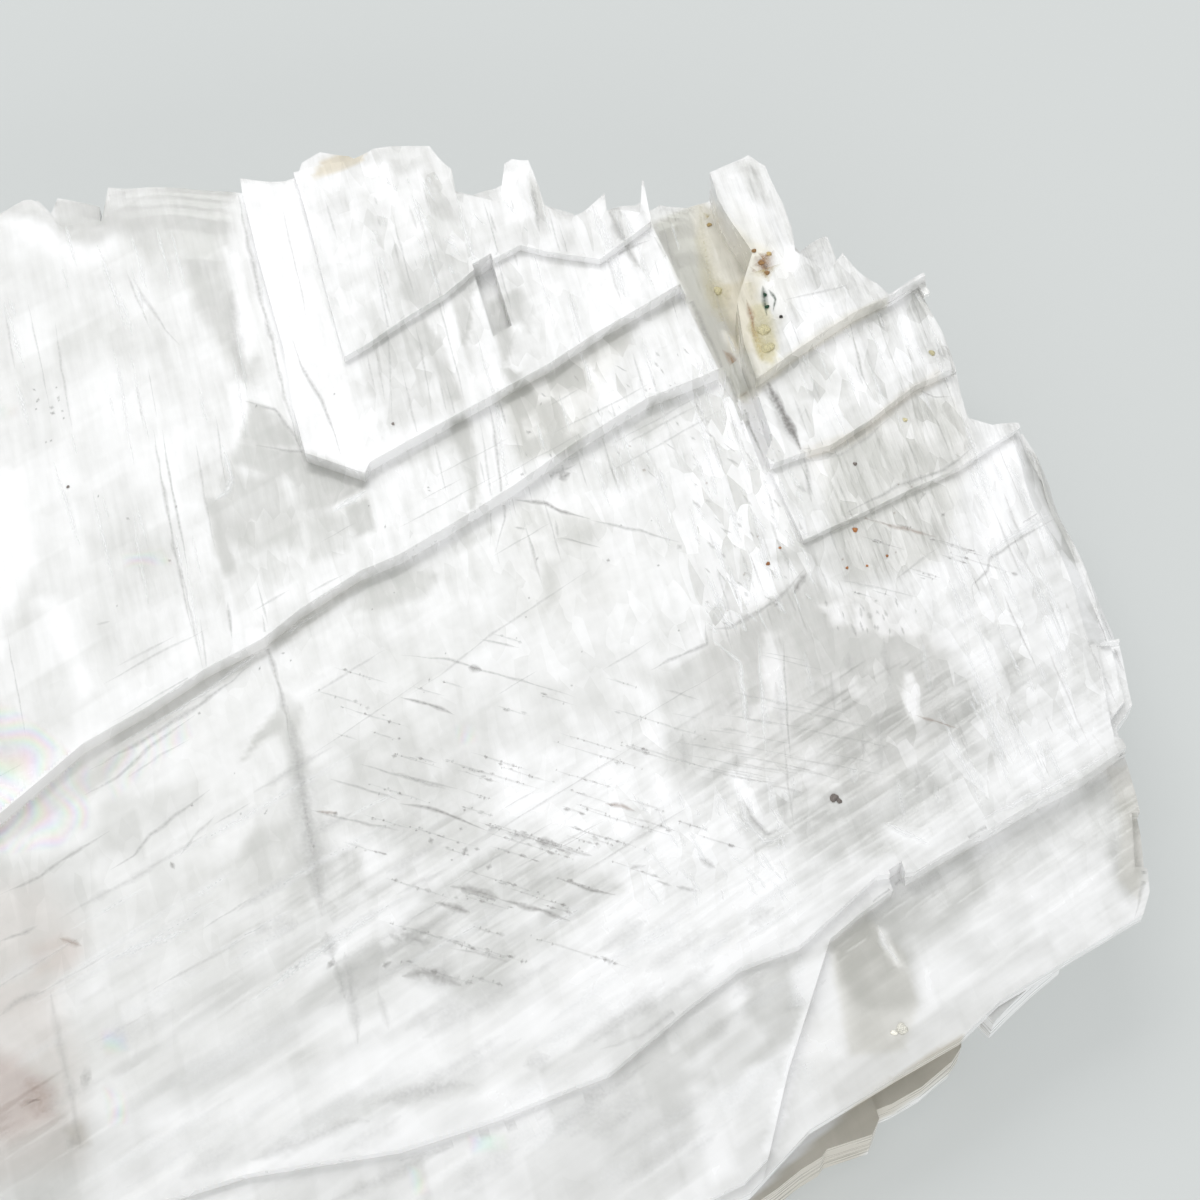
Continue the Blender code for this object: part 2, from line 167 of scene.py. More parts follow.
# How white each part of the crystal is, from 0, a clear window, to 1, pure milky white:
# whiteness, softness of its edge in pixels, outline in picture pixels. Later zones lie over
# earlier ones. Noise with lumps of RAGGED_LUMPS pixels moves their edges by up to half RAGGED.
# Two of the zones are painted light, whiter to lift shade, and are marked where they stand.
WHITE_GROUND = 0.72
RAGGED = 6.0
RAGGED_LUMPS = (23, 23)
WHITE_ZONES = [
    # left field
    (0.68, 40, [(-500, 180), (230, 180), (260, 420), (150, 660), (0, 800), (-500, 1100)]),
    (0.82, 30, [(60, 330), (130, 360), (210, 400), (200, 560), (60, 620), (50, 460)]),
    (0.56, 26, [(60, 560), (150, 500), (180, 600), (130, 680), (90, 640)]),
    (0.62, 25, [(55, 290), (125, 290), (130, 350), (60, 370)]),
    (0.98, 12, [(-60, 480), (22, 475), (36, 560), (10, 620), (0, 660), (-60, 700)]),
    (0.97, 10, [(40, 600), (60, 600), (95, 690), (80, 700)]),
    (0.95, 12, [(0, 205), (40, 203), (70, 235), (120, 240), (100, 268), (60, 262), (20, 240)]),
    (0.40, 8, [(-20, 198), (40, 200), (60, 222), (100, 226), (108, 182), (236, 184), (234, 200),
        (150, 200), (122, 222), (100, 244), (62, 240), (30, 218), (-20, 216)]),
    (0.46, 12, [(110, 190), (180, 190), (190, 250), (150, 262), (118, 230)]),
    (0.20, 3, [(48, 202), (108, 202), (108, 226), (62, 232)]),
    (0.95, 8, [(186, 232), (232, 236), (226, 262), (192, 256)]),
    (0.50, 12, [(186, 262), (226, 262), (224, 300), (196, 296)]),
    (0.33, 8, [(180, 190), (224, 190), (236, 250), (246, 330), (256, 385), (236, 380), (222, 350),
        (196, 310), (190, 262), (178, 226)]),
    (0.95, 6, [(228, 250), (240, 255), (256, 350), (246, 372), (236, 330)]),
    (0.93, 6, [(226, 385), (242, 385), (250, 440), (236, 442)]),
    # bright band and the crown
    (1.00, 4, [(236, 185), (300, 185), (318, 250), (332, 330), (352, 400), (366, 465), (342, 462),
        (300, 447), (285, 400), (272, 340), (250, 262)]),
    (0.80, 16, [(300, 185), (355, 168), (372, 260), (360, 340), (372, 455), (350, 420), (318, 300)]),
    (0.52, 14, [(366, 160), (430, 150), (460, 190), (470, 240), (400, 262), (365, 300)]),
    (0.90, 8, [(392, 176), (420, 170), (430, 230), (404, 244)]),
    (0.46, 8, [(430, 180), (452, 186), (468, 236), (446, 244)]),
    (1.00, 5, [(356, 168), (384, 158), (398, 185), (380, 200), (360, 190)]),
    (0.42, 8, [(402, 262), (440, 245), (474, 250), (480, 284), (445, 297), (408, 315), (396, 292)]),
    (0.56, 6, [(366, 345), (410, 322), (430, 380), (440, 430), (385, 445)]),
    (0.98, 8, [(372, 440), (450, 415), (452, 430), (380, 462), (366, 462)]),
    (0.28, 3, [(412, 325), (424, 318), (446, 350), (458, 398), (448, 402), (430, 365), (415, 345)]),
    (0.34, 3, [(450, 292), (474, 280), (472, 322), (466, 346), (455, 340), (448, 305)]),
    (0.90, 3, [(440, 300), (450, 300), (460, 340), (484, 404), (468, 414), (458, 385), (446, 330)]),
    (0.92, 3, [(474, 290), (490, 312), (500, 350), (506, 396), (492, 403), (478, 380), (468, 345)]),
    (0.22, 4, [(490, 302), (520, 288), (534, 306), (528, 330), (512, 330), (506, 366), (524, 374),
        (510, 386), (498, 350)]),
    (0.80, 4, [(512, 326), (524, 322), (526, 360), (516, 372), (508, 362)]),
    (0.74, 10, [(480, 180), (535, 172), (545, 235), (500, 262), (470, 262)]),
    (0.95, 5, [(500, 172), (528, 172), (530, 214), (508, 224)]),
    (0.35, 5, [(528, 178), (538, 185), (548, 232), (538, 236)]),
    (0.78, 14, [(520, 245), (600, 205), (690, 195), (700, 290), (600, 340), (540, 360)]),
    (1.00, 10, [(596, 262), (690, 240), (694, 286), (640, 300), (592, 330), (575, 300)]),
    (0.40, 4, [(608, 202), (616, 200), (634, 246), (642, 268), (630, 258), (612, 218)]),
    (0.55, 6, [(560, 232), (576, 226), (566, 262), (556, 268)]),
    # the long risers
    (0.52, 3, [(-30, 826), (40, 786), (85, 744), (150, 706), (200, 676), (265, 638), (355, 576),
        (372, 582), (300, 634), (262, 660), (200, 698), (150, 736), (95, 790), (0, 846)]),
    (0.50, 3, [(355, 586), (430, 556), (500, 520), (496, 530), (430, 566), (362, 596)]),
    (0.40, 3, [(366, 478), (440, 440), (500, 402), (560, 366), (625, 326), (690, 292), (690, 300),
        (625, 338), (560, 376), (500, 412), (440, 448), (372, 486)]),
    (0.88, 8, [(-40, 800), (110, 722), (112, 752), (-40, 856)]),
    # the head of the long crack, painted nearly white: painted light that lifts the shade where it meets
    # the riser
    (0.95, 3, [(246, 628), (268, 626), (270, 652), (250, 655)]),
    # between the two long risers
    (0.86, 14, [(380, 470), (450, 440), (470, 470), (450, 540), (370, 570), (300, 610), (260, 600)]),
    (0.26, 4, [(250, 400), (276, 412), (298, 446), (262, 446), (238, 440)]),
    (0.24, 5, [(236, 442), (300, 452), (350, 470), (366, 482), (340, 495), (300, 520), (296, 484),
        (262, 476), (238, 462)]),
    (0.22, 4, [(300, 482), (342, 470), (366, 480), (364, 492), (318, 514), (300, 506)]),
    (0.92, 2, [(334, 510), (366, 490), (368, 496), (340, 514)]),
    (0.36, 10, [(222, 480), (280, 475), (300, 500), (302, 545), (250, 552), (216, 530)]),
    (0.20, 4, [(346, 508), (368, 500), (376, 532), (356, 538), (348, 528)]),
    (0.46, 8, [(302, 520), (346, 512), (350, 550), (312, 560)]),
    (0.22, 4, [(210, 500), (226, 500), (236, 570), (226, 575), (212, 540)]),
    (0.92, 5, [(372, 500), (395, 480), (400, 540), (378, 545)]),
    (0.20, 3, [(452, 424), (466, 418), (474, 446), (478, 500), (470, 508), (464, 456)]),
    (0.88, 4, [(470, 412), (496, 402), (512, 456), (520, 500), (500, 540), (486, 500), (476, 440)]),
    (0.16, 9, [(500, 396), (560, 366), (624, 326), (630, 344), (600, 384), (560, 396), (584, 430),
        (576, 450), (522, 462), (512, 430)]),
    (0.62, 6, [(555, 400), (584, 392), (590, 432), (566, 440)]),
    (0.70, 4, [(528, 386), (548, 376), (556, 394), (538, 404)]),
    (0.60, 4, [(518, 420), (534, 410), (542, 432), (526, 440)]),
    (0.66, 4, [(596, 364), (614, 354), (620, 372), (602, 382)]),
    (0.96, 4, [(584, 362), (596, 370), (630, 400), (660, 405), (640, 425), (615, 415), (590, 382)]),
    (0.56, 8, [(604, 346), (642, 342), (650, 380), (622, 394), (604, 366)]),
    (0.90, 12, [(640, 320), (700, 320), (722, 380), (700, 400), (640, 400)]),
    (0.36, 6, [(650, 398), (676, 394), (664, 424), (644, 444), (636, 430)]),
    (0.48, 7, [(602, 458), (640, 448), (656, 470), (630, 492), (604, 490)]),
    (0.80, 14, [(520, 500), (690, 480), (700, 560), (700, 640), (640, 690), (560, 640), (540, 560)]),
    (0.74, 12, [(420, 560), (560, 540), (620, 600), (560, 680), (430, 640)]),
    (0.36, 6, [(360, 582), (400, 572), (436, 572), (430, 596), (392, 606), (352, 612)]),
    (0.48, 6, [(516, 500), (590, 520), (600, 545), (560, 540), (524, 530)]),
    (0.40, 5, [(545, 560), (560, 560), (556, 600), (545, 612), (540, 590)]),
    # recess with clay, and the blocks to its right
    (0.10, 5, [(652, 224), (690, 205), (720, 300), (762, 380), (738, 402), (702, 332), (676, 272)]),
    (0.85, 3, [(720, 330), (728, 330), (750, 368), (744, 374), (728, 350)]),
    (0.80, 3, [(714, 234), (723, 234), (733, 264), (722, 264)]),
    (0.90, 4, [(724, 180), (744, 168), (768, 200), (790, 240), (850, 296), (786, 340), (772, 350),
        (772, 300), (752, 245), (736, 215)]),
    (0.38, 6, [(736, 166), (750, 160), (768, 185), (772, 205), (752, 200)]),
    (0.66, 7, [(796, 246), (824, 236), (850, 270), (884, 292), (850, 300), (800, 290)]),
    (0.80, 4, [(784, 352), (800, 340), (846, 322), (852, 360), (862, 395), (842, 385), (820, 362)]),
    (0.44, 6, [(780, 372), (814, 352), (846, 376), (844, 400), (812, 398), (794, 400)]),
    (0.74, 6, [(800, 400), (850, 400), (860, 415), (812, 445), (800, 430)]),
    (0.62, 6, [(850, 318), (888, 302), (892, 370), (876, 398), (862, 372)]),
    (0.84, 4, [(896, 300), (908, 298), (924, 360), (914, 372), (900, 340)]),
    (0.50, 6, [(908, 292), (924, 284), (946, 345), (940, 362), (920, 350)]),
    (0.33, 9, [(832, 452), (868, 430), (940, 394), (962, 420), (974, 440), (946, 488), (952, 530),
        (930, 568), (862, 590), (806, 564), (836, 520)]),
    (0.55, 6, [(880, 425), (930, 405), (938, 440), (900, 450)]),
    (0.52, 6, [(950, 402), (966, 415), (972, 440), (956, 450)]),
    (0.40, 7, [(862, 470), (900, 460), (910, 490), (872, 500)]),
    (0.97, 4, [(808, 452), (826, 452), (830, 500), (820, 512), (812, 490)]),
    (0.78, 10, [(700, 380), (740, 400), (766, 462), (800, 460), (806, 520), (760, 560), (700, 620),
        (690, 560), (702, 500), (690, 420)]),
    (0.45, 5, [(758, 560), (800, 540), (836, 520), (838, 556), (800, 562)]),
    # right-hand field
    (0.80, 18, [(962, 470), (1000, 440), (1030, 450), (1100, 600), (1136, 690), (1116, 750), (1000, 805),
        (960, 740), (940, 620), (960, 560)]),
    (0.97, 7, [(990, 440), (1018, 446), (1040, 500), (1046, 515), (990, 556), (976, 545), (972, 490)]),
    (0.50, 9, [(940, 640), (962, 650), (980, 720), (960, 760), (930, 740)]),
    (0.96, 7, [(1100, 620), (1120, 640), (1136, 690), (1118, 706), (1096, 700)]),
    (0.24, 5, [(1022, 446), (1044, 462), (1060, 500), (1082, 562), (1066, 560), (1046, 512),
        (1034, 480)]),
    (0.88, 8, [(985, 600), (1040, 590), (1060, 660), (1020, 700), (990, 680)]),
    (0.86, 8, [(1060, 640), (1090, 640), (1100, 740), (1060, 760)]),
    (0.55, 7, [(1000, 640), (1024, 650), (1022, 700), (1004, 690)]),
    # the large clear window
    (0.50, 14, [(650, 680), (700, 650), (712, 650), (738, 660), (742, 740), (730, 790), (660, 790)]),
    (0.38, 14, [(700, 700), (736, 690), (740, 750), (704, 760)]),
    (0.27, 12, [(712, 624), (736, 628), (806, 574), (862, 600), (900, 640), (930, 640), (946, 700),
        (930, 745), (850, 745), (800, 730), (786, 700), (712, 650)]),
    (0.42, 20, [(790, 700), (940, 700), (980, 760), (930, 820), (850, 830), (790, 800)]),
    (0.24, 12, [(800, 650), (905, 640), (905, 668), (870, 676), (850, 664), (812, 676)]),
    (0.24, 12, [(850, 700), (905, 690), (915, 735), (862, 735)]),
    (0.30, 8, [(922, 650), (946, 650), (944, 684), (926, 684)]),
    (0.72, 5, [(758, 634), (780, 634), (786, 700), (790, 760), (768, 760), (762, 700)]),
    (0.20, 4, [(739, 630), (758, 626), (761, 704), (746, 706)]),
    (0.62, 10, [(745, 712), (782, 710), (784, 768), (752, 760)]),
    (0.92, 3, [(668, 668), (700, 650), (708, 622), (700, 620), (676, 636), (662, 655)]),
    (0.86, 6, [(716, 600), (780, 560), (800, 572), (760, 604), (732, 620)]),
    (0.84, 5, [(820, 604), (842, 600), (848, 624), (832, 626)]),
    (0.86, 4, [(853, 606), (863, 606), (867, 628), (856, 630)]),
    (0.84, 5, [(872, 602), (884, 602), (890, 636), (878, 634)]),
    (0.86, 5, [(892, 600), (914, 600), (918, 634), (898, 636)]),
    (0.95, 4, [(905, 674), (914, 672), (922, 694), (917, 718), (909, 722), (903, 700)]),
    (0.66, 5, [(812, 680), (846, 668), (866, 690), (866, 704), (846, 690), (826, 688)]),
    (0.74, 8, [(790, 742), (838, 746), (840, 784), (796, 790)]),
    (0.80, 8, [(924, 764), (950, 740), (990, 760), (960, 800)]),
    (0.40, 10, [(800, 812), (850, 808), (880, 835), (896, 850), (840, 862), (800, 852)]),
    (0.95, 5, [(882, 824), (930, 836), (930, 846), (896, 838)]),
    (0.80, 14, [(810, 890), (900, 862), (950, 866), (890, 895), (840, 930), (810, 930)]),
    # lower right block
    (0.50, 14, [(950, 852), (1060, 800), (1116, 762), (1136, 800), (1130, 850), (1060, 850), (1000, 862),
        (985, 900), (930, 945), (900, 940), (880, 900)]),
    (0.84, 12, [(922, 960), (960, 925), (1020, 870), (1070, 865), (1100, 880), (1134, 905), (1060, 955),
        (1000, 1000), (945, 1010), (918, 1000)]),
    (0.30, 8, [(1108, 800), (1140, 800), (1146, 880), (1130, 905), (1112, 880)]),
    (0.60, 10, [(1060, 960), (1120, 915), (1138, 925), (1080, 976)]),
    (0.30, 12, [(832, 944), (868, 912), (900, 902), (916, 958), (920, 1000), (900, 1016), (862, 1016),
        (842, 985)]),
    (0.60, 10, [(856, 1014), (900, 1014), (916, 1036), (880, 1056), (856, 1050)]),
    (0.85, 3, [(876, 925), (884, 925), (904, 965), (896, 968)]),
    (0.92, 8, [(790, 970), (828, 950), (842, 1000), (846, 1060), (800, 1060), (796, 1010)]),
    (0.45, 8, [(740, 960), (800, 952), (790, 975), (800, 1010), (780, 1040), (740, 1010)]),
    # middle of the main face
    (0.96, 14, [(500, 750), (600, 740), (650, 800), (640, 850), (560, 835), (500, 820)]),
    (0.88, 14, [(610, 850), (700, 840), (790, 865), (830, 935), (790, 950), (690, 990), (600, 1040),
        (560, 990), (590, 920)]),
    (0.92, 10, [(640, 690), (656, 690), (668, 760), (680, 850), (650, 850), (645, 770)]),
    (0.95, 5, [(730, 770), (742, 770), (760, 820), (752, 840), (738, 800)]),
    (0.40, 4, [(736, 800), (750, 812), (770, 838), (788, 832), (782, 848), (752, 850), (738, 824)]),
    (0.50, 10, [(450, 870), (500, 845), (600, 868), (626, 890), (572, 924), (520, 965), (470, 1000),
        (392, 965), (410, 905)]),
    (0.60, 12, [(300, 640), (420, 640), (500, 700), (490, 800), (400, 800), (310, 740)]),
    (0.50, 10, [(350, 760), (470, 780), (500, 830), (440, 860), (340, 830)]),
    (0.37, 18, [(240, 832), (300, 822), (330, 850), (346, 900), (286, 942), (236, 930), (206, 892)]),
    (0.16, 3, [(282, 700), (300, 706), (296, 724), (262, 740), (240, 762), (262, 726)]),
    (0.66, 12, [(240, 672), (276, 664), (282, 700), (240, 740), (200, 760)]),
    (0.46, 5, [(280, 690), (297, 700), (308, 800), (330, 870), (326, 912), (306, 905), (296, 820)]),
    (0.30, 6, [(281, 706), (299, 706), (308, 790), (298, 800), (286, 760)]),
    (0.34, 7, [(336, 850), (360, 850), (366, 890), (345, 895)]),
    (0.95, 8, [(215, 830), (250, 815), (256, 826), (222, 880), (206, 895)]),
    (0.48, 16, [(180, 940), (300, 925), (400, 950), (400, 1010), (190, 1020)]),
    (0.90, 8, [(240, 1000), (330, 945), (400, 895), (430, 900), (350, 960), (260, 1015)]),
    (0.95, 5, [(74, 872), (96, 864), (106, 918), (84, 930)]),
    (0.82, 10, [(120, 880), (200, 870), (200, 930), (120, 960)]),
    (0.45, 10, [(100, 800), (200, 780), (210, 800), (140, 860), (100, 850)]),
    (0.42, 14, [(-60, 860), (90, 850), (100, 960), (60, 1010), (-60, 1010)]),
    (0.58, 18, [(60, 1000), (300, 990), (320, 1060), (150, 1100), (60, 1080)]),
    (0.55, 26, [(90, 890), (230, 860), (300, 930), (300, 1000), (110, 1000)]),
    (0.44, 34, [(-60, 985), (70, 985), (90, 1060), (96, 1150), (80, 1220), (-60, 1220)]),
    (0.86, 12, [(130, 1130), (330, 1060), (520, 1000), (600, 1005), (480, 1060), (330, 1110)]),
    (0.64, 8, [(330, 1100), (470, 1084), (480, 1094), (380, 1120), (300, 1130)]),
    (0.88, 10, [(200, 1180), (400, 1110), (540, 1080), (620, 1060), (600, 1090), (440, 1150)]),
    (0.66, 9, [(615, 1062), (650, 1066), (690, 1110), (696, 1200), (650, 1200), (625, 1120)]),
    (0.72, 10, [(500, 1130), (610, 1100), (620, 1180), (520, 1200)]),
    (0.94, 8, [(692, 1084), (724, 1090), (738, 1170), (715, 1185), (700, 1140)]),
    (0.70, 10, [(640, 1010), (720, 990), (700, 1060), (650, 1050)]),
    (0.70, 12, [(730, 1040), (830, 1060), (800, 1120), (740, 1160)]),
    (0.92, 7, [(684, 1066), (724, 1018), (740, 985), (752, 990), (738, 1026), (700, 1070)]),
    (0.90, 7, [(716, 1116), (756, 1056), (800, 1034), (804, 1046), (766, 1066), (730, 1118)]),
    (0.60, 10, [(680, 1040), (716, 1010), (736, 1016), (716, 1040), (690, 1056)]),
    (0.46, 8, [(744, 1064), (768, 1034), (798, 1020), (796, 1040), (770, 1060)]),
    # Painted light: a whiter line over the near-side riser, so that its wall's shade shows only faintly.
    (0.97, 3, [(826, 950), (836, 950), (812, 1020), (776, 1150), (762, 1150), (800, 1020)]),
]

# How far the surface is broken into small facets: how far, softness of the edge, outline.
BROKEN_GROUND = 0.10
BROKEN_ZONES = [
    (0.02, 90, [(-300, 150), (230, 150), (250, 400), (150, 640), (0, 760), (-300, 800)]),
    (0.26, 30, [(350, 140), (700, 170), (700, 300), (500, 390), (370, 440), (350, 300)]),
    (0.18, 30, [(200, 440), (420, 450), (690, 320), (690, 440), (400, 570), (220, 600)]),
    (0.20, 60, [(420, 560), (700, 420), (700, 640), (560, 700)]),
    (0.45, 12, [(500, 398), (626, 328), (650, 380), (590, 446), (516, 466)]),
    (0.62, 26, [(690, 370), (750, 400), (800, 460), (830, 560), (720, 640), (690, 640), (680, 470)]),
    (0.42, 24, [(770, 240), (930, 280), (970, 420), (940, 590), (830, 600), (800, 440), (780, 360)]),
    (0.34, 40, [(960, 440), (1040, 440), (1150, 700), (1110, 760), (960, 810), (930, 640)]),
    (0.30, 30, [(800, 600), (940, 600), (950, 760), (840, 760)]),
    (0.26, 30, [(640, 700), (660, 690), (690, 790), (800, 760), (800, 860), (640, 900), (600, 840)]),
    (0.04, 60, [(-300, 1000), (420, 980), (840, 940), (1200, 860), (1200, 1300), (-300, 1300)]),
]

# Stains, and painted shade on the lower layer under the rim: what the crystal's colour is multiplied by,
# softness in pixels, outline in picture pixels.
STAINS_AND_SHADE = [
    ((0.955, 0.95, 0.945), 16, [(700, 640), (790, 585), (880, 596), (940, 640), (960, 720), (880, 800),
        (780, 790), (700, 740)]),
    ((0.965, 0.96, 0.945), 12, [(806, 450), (900, 400), (960, 400), (974, 450), (940, 560),
        (850, 580)]),
    ((0.965, 0.963, 0.955), 20, [(500, 500), (600, 510), (620, 600), (520, 620)]),
    ((0.965, 0.965, 0.96), 24, [(190, 700), (285, 720), (310, 900), (290, 1000), (190, 1000)]),
    ((0.965, 0.962, 0.955), 16, [(800, 1020), (900, 1010), (900, 1090), (820, 1110)]),
    ((0.95, 0.945, 0.92), 12, [(730, 200), (770, 230), (800, 290), (772, 340), (750, 280)]),
    ((0.84, 0.77, 0.63), 4, [(312, 180), (322, 160), (362, 144), (364, 160), (336, 172)]),
    ((0.97, 0.965, 0.945), 8, [(500, 396), (560, 366), (624, 326), (630, 344), (600, 384), (584, 430),
        (576, 450), (522, 462), (512, 430)]),
    ((0.93, 0.92, 0.87), 8, [(652, 224), (690, 205), (720, 300), (762, 380), (738, 402), (702, 332)]),
    ((0.94, 0.91, 0.82), 10, [(690, 195), (725, 215), (750, 240), (770, 250), (760, 290), (768, 320),
        (778, 345), (775, 372), (756, 378), (740, 350), (722, 320), (700, 280)]),
    ((0.89, 0.85, 0.64), 5, [(752, 306), (766, 302), (772, 322), (778, 346), (774, 364), (760, 360),
        (754, 340)]),
    ((0.91, 0.88, 0.79), 6, [(706, 282), (730, 284), (728, 306), (712, 308)]),
    ((0.90, 0.87, 0.79), 7, [(724, 288), (746, 278), (757, 286), (756, 320), (750, 352), (728, 352)]),
    ((0.87, 0.85, 0.79), 4, [(738, 396), (760, 377), (800, 343), (850, 312), (886, 298), (888, 306),
        (850, 326), (800, 358), (764, 388), (744, 404)]),
    ((0.90, 0.88, 0.84), 4, [(803, 448), (862, 428), (900, 393), (940, 367), (942, 380), (900, 408),
        (862, 442), (806, 460)]),
    ((0.92, 0.915, 0.90), 4, [(-30, 826), (40, 786), (85, 744), (150, 706), (265, 638), (355, 576),
        (372, 582), (300, 634), (200, 698), (150, 736), (95, 790), (0, 846)]),
    ((0.92, 0.91, 0.88), 8, [(828, 945), (866, 915), (906, 955), (918, 1004), (905, 1050),
        (850, 1055)]),
    ((0.93, 0.915, 0.885), 6, [(1104, 770), (1136, 764), (1146, 850), (1138, 900), (1118, 880),
        (1122, 820)]),
    # The lower layer under the rim: partly the crust's own brown, partly painted shade on that layer.
    ((0.70, 0.66, 0.58), 4, [(962, 1034), (968, 1060), (900, 1110), (880, 1120), (870, 1150),
        (790, 1210), (740, 1210), (860, 1100)]),
    ((0.94, 0.90, 0.88), 50, [(-60, 880), (40, 880), (84, 930), (66, 980), (20, 1004), (-60, 1010)]),
    ((0.95, 0.90, 0.88), 14, [(30, 945), (60, 935), (84, 950), (70, 968), (34, 975)]),
    ((0.82, 0.74, 0.72), 26, [(-60, 1040), (20, 1060), (56, 1090), (56, 1120), (10, 1140),
        (-60, 1140)]),
    ((0.92, 0.88, 0.86), 44, [(-60, 1000), (50, 990), (80, 1060), (80, 1160), (-60, 1200)]),
    ((0.80, 0.78, 0.75), 8, [(66, 1130), (84, 1120), (90, 1145), (76, 1150)]),
]

# Colour in linear light and opacity of each kind of mark.
KINDS = {
    "dark": ((0.20, 0.185, 0.17), 0.58),
    "grey": ((0.34, 0.335, 0.32), 0.42),
    "hair": ((0.42, 0.415, 0.40), 0.30),
    # soft: wide faint grey bands. On the risers and the right rim's bevel they are painted shade,
    # elsewhere grey in the crystal itself.
    "soft": ((0.44, 0.435, 0.42), 0.26),
    "brown": ((0.28, 0.17, 0.11), 0.50),
    "soot": ((0.02, 0.018, 0.015), 0.92),
    "moss": ((0.02, 0.06, 0.03), 0.85),
    "rust": ((0.30, 0.15, 0.05), 0.72),
    "ochre": ((0.52, 0.42, 0.16), 0.62),
    "clay": ((0.64, 0.59, 0.40), 0.42),
    "white": ((0.97, 0.98, 0.98), 0.52),
    "mist": ((0.97, 0.98, 0.98), 0.30),
}
